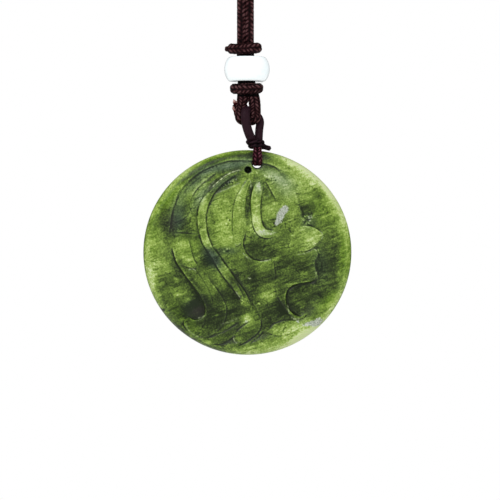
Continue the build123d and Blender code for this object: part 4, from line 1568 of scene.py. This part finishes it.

# Soft clouds: across, up, half width, half height, turn in degrees and tone, which is dark
# below 0 and light above it. In the tints' tables the last number is the tint's strength.
stoneClouds = {
    "rim, upper half": [
        (0, 23.5, 4, 0.55, 0, -0.4), (-8, 22, 4, 0.6, 20, -0.4), (-15, 17.9, 4, 0.6, 40, -0.3),
        (1.5, 21.4, 4, 0.7, 0, 0.3), (8, 20, 3, 0.8, -20, 0.3), (14.5, 19, 6.5, 2.8, -38, 1.25),
        (21, 12.4, 5, 2, -62, 1), (23.6, 5.4, 1.7, 4, 6, 0.6), (-18.6, 14.4, 2, 3.4, -45, 0.25),
        (-7, 23, 7, 1, 20, -0.2), (2, 23.6, 5, 1, -4, -0.2), (4.4, 20.6, 1.6, 0.8, 0, -0.4),
        (-5.7, 20.6, 6, 1.2, 14, -0.3), (-11.8, 18.3, 2.4, 1.3, 40, -0.2), (-20.3, 8.8, 1.3, 2.6, 0, -0.6),
        (16.6, 13.6, 1.1, 0.8, 0, -0.75), (9.6, 20.6, 0.9, 0.35, -30, -0.6), (-21.5, 2, 2, 2.2, 0, 0.4),
        (-22.5, 7.5, 1.2, 1.6, 0, -0.4), (8, 22.6, 3, 0.8, -20, 0.4), (-7.4, 20.2, 2, 0.8, 25, 0.3),
        (-23, 10, 1.4, 4.5, 22, 0.55), (9, 19, 3, 0.9, -22, -0.5), (15.5, 16.2, 4.4, 1, -38, -0.55),
        (2, 23.8, 2.5, 0.9, 0, -0.4), (-7, 22.6, 5, 0.8, 16, -0.25), (-20.6, 11.6, 1.4, 2, 20, 0.1),
        (-23.7, 1.5, 0.9, 2.6, 0, 0.45), (-14.6, 19.6, 3.2, 0.9, 42, 0.25), (20.6, 9.6, 1.2, 1.4, 0, -0.3),
        (-5.5, 20.9, 4.5, 0.8, 12, 0.3), (-23.2, 2.2, 1, 2.4, 0, -0.35), (16.6, 17.2, 4, 0.8, -42, -0.35),
    ],
    "rim, lower half": [
        (22.8, -3.5, 1.3, 5, 0, 0.2), (21.5, -10.9, 1.6, 4, -20, 0.3), (19.1, -15, 2.6, 2.2, 40, 0.35),
        (14.5, -20.2, 5, 1.5, 30, 0.85), (9.6, -21.8, 5, 1.5, 15, 0.75), (1.1, -23.7, 7, 1.1, 0, 0.5),
        (-9.5, -22.4, 4.5, 1.4, -20, -0.35), (-23.4, -1.8, 1.5, 6, 0, 0.6), (-21.4, -3.2, 2.2, 3, 0, 0.4),
        (-22.3, -10.2, 1.2, 3, 20, 0.35), (-20.3, -13.9, 0.4, 0.28, 20, -1.5), (21.5, -5.2, 1.2, 2, 0, -0.3),
        (18, -10, 2.6, 1.4, 10, -0.35), (-11.8, -18.1, 2, 1.4, 0, -0.2), (-7, -20.5, 3.5, 0.8, 15, 0.3),
        (-15.5, -17.5, 3.4, 3.2, -45, -0.6), (12.6, -18.9, 4.2, 1.5, 22, 0.8),
        (-21.5, -8.2, 1.6, 2.4, 0, -0.5), (-9.5, -21.8, 2.6, 1, -20, 0.4), (22.6, -4.5, 1, 1.6, 0, -0.3),
        (-22.6, -0.8, 1.3, 1.6, 0, -0.5), (-4.5, -22.3, 3.6, 1, 0, -0.45), (-13.6, -18.8, 1.8, 1.5, -40, 0.5),
        (10, -20.8, 2.2, 1.2, 20, -0.5), (21.5, -8.2, 1.6, 1.3, 0, -0.35), (17, -12, 3.4, 1.4, 10, 0.2),
        (-21, -8.5, 1.8, 2, 0, 0.3), (0, -24, 3.5, 0.8, 0, 0.15), (-23, -7, 1.1, 2.4, 15, 0.5),
        (6.5, -19.6, 2, 1.2, 0, 0.25), (-18, -13.6, 1.8, 1.4, -40, -0.25), (-12.5, -18.2, 2.2, 1.2, 0, 0.2),
    ],
    "crown": [
        (-0.8, 15.5, 1.5, 2, 0, 0.2), (-6.3, 16.7, 3.4, 0.7, 27, -0.2), (4.9, 13.4, 0.8, 2, 0, -0.35),
        (8.2, 15.9, 3, 3, 0, 0.35), (11.5, 15.5, 4, 3, -40, 0.45), (5, 19, 2.6, 1.3, -20, 0.5),
        (-2.5, 15.8, 1.6, 1.8, -25, 0.35), (-11.5, 14.5, 2, 3.4, -35, 0.25), (0.5, 18.8, 2, 1.4, 20, 0.35),
        (-5, 17.8, 1.8, 0.8, 30, -0.3), (-12.8, 13.4, 0.9, 1.4, -30, -0.3), (15, 13, 1.8, 1.5, 0, 0.45),
        (-7.5, 15.6, 3.4, 1, 42, -0.35), (6.3, 18.5, 2.2, 1.4, -20, 0.4), (-1, 14, 2.2, 2, 0, 0.2),
        (12.6, 15.4, 1.8, 1.2, 0, -0.2), (2.7, 15.6, 0.6, 1.2, 0, 0.5),
    ],
    "mane behind the main lock": [
        (-20, -3.2, 2.6, 1.2, -30, 0.22), (-16.2, 9.3, 1.8, 2.4, -10, -0.45), (-17.4, 6.3, 1.8, 2.2, 0, -0.6),
        (-14.4, 6.9, 2, 1.6, 30, -0.55), (-13.6, 3.6, 3.4, 0.6, -5, -0.4), (-10.4, 10, 0.9, 4, 10, 0.3),
        (-9.4, 2.8, 1, 2.5, 25, 0.3), (-16.2, 1, 1.9, 2.8, 0, 0.5), (-14.9, -2.1, 1.4, 1.4, 0, 0.45),
        (-8.6, -1.3, 2.2, 1.5, -50, -0.75), (-10.2, -2.2, 1.8, 1.2, 0, -0.75), (-13, 2.2, 4.5, 1.2, 0, 0.35),
        (-13.6, 7.2, 1.6, 1.6, 0, 0.4), (-14.5, 12.5, 3, 3, 0, 0.3), (-10.6, 12.2, 0.9, 3, -12, 0.5),
        (-16.8, 8.2, 1.2, 2.6, 0, 0.45), (-10.2, 3.2, 1, 1.8, 20, 0.4), (-12, -2.2, 1.3, 1, 0, 0.4),
        (-14.5, 10.8, 1, 1.2, 0, -0.3), (-8.2, 9.5, 1, 4, 6, -0.25), (-8.6, 2, 1.3, 3, 15, -0.3),
        (-16.5, -2.4, 1.6, 1.6, 0, -0.6), (-19.2, 4, 0.9, 2.5, 5, -0.3),
    ],
    "neck and forelock": [
        (4.3, 12.5, 1.6, 2.5, 0, 0.22), (-5.7, 10.1, 3, 4.4, 0, 0.5), (-6.2, 4.6, 2.4, 2.8, 0, 0.45),
        (-2.2, 11.5, 1, 3.5, 0, 0.35), (-2.1, 5, 1, 2.6, 0, 0.35), (2, 10.5, 1.1, 5, 0, 0.45),
        (3.6, 4.7, 2.4, 0.9, 0, 0.5), (5.2, 6.9, 1.8, 0.8, 10, -0.4), (4.6, 9.7, 0.9, 1.6, 0, 0.2),
        (5.6, 9.6, 1.8, 2.6, 0, 0.45), (2.4, 6.8, 1.4, 2.4, 20, 0.5), (-1.2, 6.8, 1.6, 1.6, 0, 0.35),
        (-5.5, 8, 2.2, 2, -15, 0.2), (1.5, 3.8, 1.1, 0.9, 0, -0.5), (1.5, 6.5, 2.2, 2, 0, 0.35),
        (6, 4, 2, 1.2, 0, 0.35), (7, 7.3, 1.2, 1, 0, -0.4), (3.4, 4.7, 1.2, 0.6, 0, 0.4),
    ],
    "face": [
        (10.6, 12, 2, 2.4, 0, 0.25), (14.2, 10.2, 1.7, 1.9, 0, -0.75), (18, 8.5, 3, 1.6, 5, -0.3),
        (14.7, 3.9, 2.9, 1.8, 0, 0.55), (10.2, 3.2, 1.6, 2, 30, -0.1), (11.6, -3.3, 4.6, 2.6, 5, -0.4),
        (19.8, 1.6, 2.6, 3.6, 0, -0.5), (18.6, -3.5, 2.2, 3, 0, -0.6), (16, 4.2, 6, 4.2, 0, 0.25),
        (12.8, 1.5, 3, 1.6, 10, 0.35), (12.8, -1.2, 1.4, 1.3, 0, 0.45), (8.2, -2.6, 1.8, 1.6, 0, -0.4),
        (7.5, 11.5, 1.8, 2, 0, 0.1), (17.5, 8.6, 2.6, 1.6, -20, 0.45), (11.5, 8.8, 2.2, 1.6, 0, 0.3),
        (13, 3.6, 1.2, 1, 0, -0.35), (18.8, -0.5, 1.4, 3, 0, 0.25), (10, -2.5, 2.4, 2, 0, 0.2),
        (16, 7.6, 1.8, 1.2, 0, -0.3), (11, -3.4, 3, 1.4, 5, -0.2),
    ],
    "cheek": [
        (6, -6.2, 3.5, 1.6, 0, 0.2), (-5, 0.3, 2, 0.8, 0, -0.5), (-2.3, 1.6, 1, 1, 0, 0.25),
        (2.3, 1.6, 3, 1.5, 0, -0.45), (4.5, -0.7, 3.6, 0.9, 15, -0.45), (6.2, -5.2, 2, 1.6, 0, -0.4),
        (4.5, -6.9, 4, 1.6, 0, -0.5), (4.8, -3, 1.8, 0.9, 0, 0.3), (1, -5.5, 1.8, 2, 0, -0.4),
        (-4.2, 1.8, 1.8, 2.2, 0, 0.5), (5, -4.2, 2.4, 1.6, 0, 0.25), (6.5, -7.6, 3, 1.2, 0, 0.3),
    ],
    "lower locks": [
        (-9.5, -9, 3.5, 1.2, -45, 0.22), (-4.6, -5.4, 1.6, 1, -50, 0.35), (-0.5, -12.3, 0.8, 0.9, 0, 0.75),
        (-0.1, -16.2, 1.3, 1.1, 0, 1.1), (-17.6, -6.9, 3.8, 2, 15, -0.5), (-13.4, -13.2, 2.6, 1.7, 35, -0.85),
        (-8.2, -16, 3, 2.6, 0, -0.5), (-9.8, -8.2, 1.4, 2.6, 35, 0.2), (-5, -10.6, 2.8, 1.5, 0, -0.5),
        (-12.8, -5.2, 1.6, 1, 0, -0.2), (-3.4, -14.6, 2, 1.2, 0, -0.25), (-2, -13.5, 9, 4.5, 5, -0.35),
        (-10.5, -12.5, 1.6, 3, 0, -0.45), (-3, -6, 1.8, 1.6, 0, -0.5), (-18.5, -8, 3.5, 1.8, 0, 0.3),
        (-6.5, -6, 1, 1.6, 40, 0.35), (-2.5, -9, 0.9, 2.6, 38, 0.35), (-13.3, -8.2, 1.2, 2, 35, -0.6),
        (-10.8, -11.6, 1.1, 2.4, 20, -0.4), (-3, -7.2, 1.6, 2.4, 30, -0.4),
        # the small light spots at (-17.5, -6.4), (-16.9, -10.2) and (-14.3, -11.5) are painted sparkle
        # highlights
        (-5.5, -19.5, 3.6, 1.6, 10, -0.45), (-17.5, -6.4, 0.5, 0.35, 10, 0.9),
        (-16.9, -10.2, 0.8, 0.4, 10, 0.85), (-14.3, -11.5, 0.6, 0.45, 40, 0.9),
        (-0.2, -16.3, 0.8, 0.6, 0, 0.4), (-11.6, -15.6, 1.4, 1.4, 0, -0.25),
    ],
    "below the jaw": [
        (17.4, -10.4, 0.4, 0.25, 0, -0.8), (4.5, -10.4, 2, 1.8, 0, 0.5), (13, -11.6, 4.2, 3.2, 0, -0.65),
        (6.2, -14.7, 4, 1.8, 10, -0.55), (8, -11.9, 1, 2, 0, -0.45), (8.6, -18.5, 3.5, 1.2, 10, 0.5),
        (1.4, -10, 1.6, 3, 0, -0.35), (3, -19.5, 2.4, 1.4, 20, -0.35), (11, -9, 3.6, 1.6, 8, -0.1),
        (3.2, -10.6, 1, 1.4, 0, 0.35), (11.2, -17, 1.1, 0.9, 0, 0.4), (6, -17.6, 3, 0.9, 18, -0.35),
        (10.2, -14.3, 2, 1.6, 0, -0.45), (14.5, -7.2, 4.5, 0.9, 8, -0.4), (1.5, -14.5, 4, 0.9, 5, 0.25),
        (2.6, -16.2, 1.5, 0.8, 20, 0.4), (14, -8.5, 4.8, 0.8, 5, -0.3), (13, -10.5, 3.4, 2.4, 0, 0.25),
    ],
}
blueClouds = [
    (-4.2, 20.9, 6.5, 1, 12, 0.9), (-12.2, 17.2, 4, 1.1, 45, 0.5), (-16.8, 9.4, 1.5, 3.6, -8, 0.5),
    (-17.2, 7.2, 1.6, 1.8, 0, 0.35), (-11.5, 13.2, 1, 3.2, -30, 0.5), (-6, 16.6, 3.4, 0.8, 27, 0.5),
    (-8.5, -1.4, 2.4, 1.4, -50, 0.95), (-4.6, 0.3, 2, 0.8, 0, 0.4), (6.5, 18.5, 3.5, 1.4, -25, 0.5),
    (9, 15.5, 2.6, 2, -30, 0.35), (14.6, 7.2, 1.6, 1.6, 0, 0.3), (4, 4.6, 2.2, 0.7, 10, 0.35),
    (2.6, 15.6, 0.9, 1.6, 0, 0.5), (17.5, -3, 1.8, 4, 10, 0.25), (-13.2, -13.2, 2, 1.5, 35, 0.3),
]
limeClouds = [
    (-17.9, 14.4, 3.5, 1.3, 50, 0.7), (-21.2, 10.8, 2.6, 1.3, 63, 0.7), (-22.8, 3, 1.4, 4.5, 0, 0.4),
    (-8, 22.8, 6, 1.4, 20, 0.75), (23.6, -1, 1.3, 7, 0, 0.7), (19.5, -11.8, 3, 1.8, 25, 0.55),
    (18.5, 10, 4.5, 3, -40, 0.4), (-6, 6, 2.6, 5, 0, 0.3), (-15, -16, 4, 2, -45, 0.35),
    (-14.5, 1, 3, 2.6, 0, 0.3),
]
duskClouds = [
    (-11.9, -14.2, 1.6, 1, 20, 0.75), (-18.2, 7.2, 0.9, 2.2, 0, 0.5), (-20.4, 7.6, 1, 2.4, 0, 0.25),
]
whiteClouds = [
    (14.6, -17.3, 1.6, 0.5, 10, 0.75), (16.9, -16.9, 1.5, 0.9, 25, 0.95), (12.1, -16.8, 0.5, 0.4, -30, 0.5),
    (8.8, 10.1, 0.85, 1.2, -40, 1), (7.7, 8.3, 0.85, 1.3, -15, 0.95), (6.9, 6.8, 0.4, 0.5, 0, 0.6),
    (3.7, 4.8, 1, 0.6, -10, 0.55), (6, 4.5, 1.2, 0.5, 12, 0.4), (-0.4, -16.6, 0.8, 0.7, 10, 0.55),
    (-11.4, 13, 0.5, 0.9, -20, 0.4), (15, 8.4, 0.5, 1.2, -20, 0.4), (2.7, 16, 0.5, 0.9, -10, 0.55),
    (-5.2, 16.3, 3, 0.5, 27, 0.3),
]


def glintShare(x, z):
    total = np.zeros(x.shape)
    for order, (shine, points) in enumerate(glintLines.values()):
        length, area, signed, share = aroundLine(points, x, z, 1.0)
        uneven = 1 + slowWaves(share * length, order, glints["waves"])
        faded = uneven * endFade(share, glints["fade"])
        total[area] += shine * faded * np.exp(-((signed / glints["half"]) ** 2))
    return total


def stippleTone(x, z):
    chance = np.random.default_rng(stipples["seed"])
    total = np.zeros(x.shape)
    for midX, midZ, wide, high, turn, count in stippleSpots.values():
        turn = math.radians(turn)
        for _ in range(count):
            along, up = chance.normal(0, stipples["scatter"], 2) * (wide, high)
            size = stipples["size"] * chance.uniform(*stipples["sizeRange"])
            strength = stipples["tone"] * chance.uniform(-1, 1)
            dx = x - midX - along * math.cos(turn) + up * math.sin(turn)
            dz = z - midZ - along * math.sin(turn) - up * math.cos(turn)
            total += strength * np.exp(-(dx**2 + dz**2) / size**2)
    return total


def jadeMaterial():
    material, tree, shader = newMaterial("cloudedGreenJade", jade["polish"])
    stone = useGroup(tree, stoneCloud, jade["grain"])
    streaks = addShares(tree, readAttribute(tree, "streak"), (stone["Cloud"], jade["streakInCloud"]))
    # the cavity term adds painted shade in the carving's hollows and painted highlights on its ridges
    value = addShares(tree, jade["middle"], (readAttribute(tree, "tone"), jade["toneShare"]),
                      (stone["Cloud"], jade["cloudShare"]), (stone["Fibre"], streaks),
                      (stone["Speck"], jade["speckShare"]), (stone["Vein"], jade["veinShare"]),
                      (readAttribute(tree, "cavity"), jade["cavityShare"]))
    color = colorRamp(tree, value, jade["colors"])
    for tint, other in (("limeTint", colorRamp(tree, value, jade["limeColors"])),
                        ("blueTint", colorRamp(tree, value, jade["blueColors"])),
                        ("duskTint", jade["duskColor"])):
        color = mixColors(tree, readAttribute(tree, tint), color, other)

    white = addShares(tree, readAttribute(tree, "whiteTint"), (stone["Speck"], jade["whiteSpeck"]),
                      (stone["Fibre"], jade["whiteFibre"]))
    white = mathNode(tree, "MULTIPLY_ADD", white, jade["whiteSharpness"], jade["whiteFrom"])
    mottled = addShares(tree, 0.5, (stone["Speck"], jade["whiteMottle"]))
    color = mixColors(tree, limited(tree, white), color, colorRamp(tree, mottled, jade["whiteColors"]))

    # painted highlights: the glint lines, broken by the specks, mix towards the glint colour
    broken = addShares(tree, glints["strength"], (stone["Speck"], glints["speckShare"]))
    broken = mathNode(tree, "MULTIPLY", broken, readAttribute(tree, "glint"))
    color = mixColors(tree, broken, color, glints["color"])
    tree.links.new(color, shader.inputs["Base Color"])
    rough = addShares(tree, jade["roughness"], (stone["Speck"], jade["roughSpeck"]))
    tree.links.new(rough, shader.inputs["Roughness"])
    fine = addShares(tree, stone["Cloud"], (stone["Fibre"], jade["bumpFibre"]))
    addBump(tree, shader, fine, jade["bump"], jade["bumpDistance"])
    return material


def stoneValues(cavities, x, y, z):
    # what the stone's colour is made of at each point of the disc, with the carving's marks at the front only
    back = smoothStep((y + 1) / 3)
    front = 1 - back
    flipped = x * np.where(y > 1, -1, 1)
    radius = np.hypot(x, z)
    lowerRight = smoothStep((x - z - jade["streakFrom"]) / jade["streakOver"])
    tone = sum(summedSpots(spots, flipped, z) for spots in stoneClouds.values())
    tone = tone * (jade["backTone"] + (1 - jade["backTone"]) * front) + stippleTone(x, z) * front
    # painted light round the rim and painted shade on its outermost edge
    rim = smoothStep((radius - rimLight["from"]) / rimLight["over"])
    tone += rim * np.interp(np.degrees(np.arctan2(z, x)), rimLight["angle"], rimLight["tone"]) * front
    edge = smoothStep((radius - rimLight["edgeFrom"]) / rimLight["edgeOver"])
    edge = edge * smoothStep((rimLight["edgeHalf"] - np.abs(y)) / rimLight["edgeFade"])
    tone += rimLight["edgeTone"] * edge
    # painted shade inside the holes
    for name in carving["mouths"]:
        holeX, holeZ, holeRadius = disc[name]
        bore = np.hypot(x - holeX, z - holeZ) < holeRadius + jade["boreMargin"]
        bore &= np.abs(y) < disc["halfThickness"] - jade["boreFrom"]
        tone = np.where(bore, jade["boreTone"], tone)
    return {
        "tone": tone,
        "blueTint": np.clip(summedSpots(blueClouds, x, z) * front, 0, 1),
        "whiteTint": summedSpots(whiteClouds, x, z) * (jade["backWhite"] + (1 - jade["backWhite"]) * front),
        "duskTint": np.clip(summedSpots(duskClouds, x, z) * front, 0, 1),
        "limeTint": np.clip(summedSpots(limeClouds, x, z) * front, 0, 1),
        # painted shade and highlights of the carving
        "cavity": readGrid(cavities, x, z) * front,
        "streak": jade["streakLeast"] + jade["streakMore"] * lowerRight,
        "glint": np.clip(glintShare(x, z) * front, 0, 1),
    }


def makeDisc():
    heights, cavities = carveFace()
    stone = makeObject("carved_jade_disc", *discBody(heights))
    holeX, holeZ, mouth = disc["stringHole"]
    bore, wide = disc["boreRadius"], disc["halfThickness"] - disc["mouthDepth"]
    narrow, clear = wide - disc["bevel"], disc["halfThickness"] + 2.0
    drill(stone, holeX, holeZ, [(-clear, mouth), (-wide, mouth), (-narrow, bore), (narrow, bore),
                                (wide, mouth), (clear, mouth)])
    holeX, holeZ, mouth = disc["blindHole"]
    bottom = disc["blindDepth"] - disc["halfThickness"]
    drill(stone, holeX, holeZ, [(-clear, mouth), (bottom, mouth * disc["blindTaper"])])

    mesh = stone.data
    spots = np.zeros(len(mesh.vertices) * 3, dtype=np.float32)
    mesh.vertices.foreach_get("co", spots)
    addValues(mesh, stoneValues(cavities, *(spots.reshape(-1, 3) / mm).T))
    mesh.transform(Matrix.Translation((disc["x"] * mm, 0, disc["z"] * mm)))
    mesh.materials.append(jadeMaterial())
    place(stone, "pendant", "jade", ["jade_disc"])
    print("disc triangles", sum(len(face.vertices) - 2 for face in mesh.polygons))


makeDisc()
print("jade disc made")
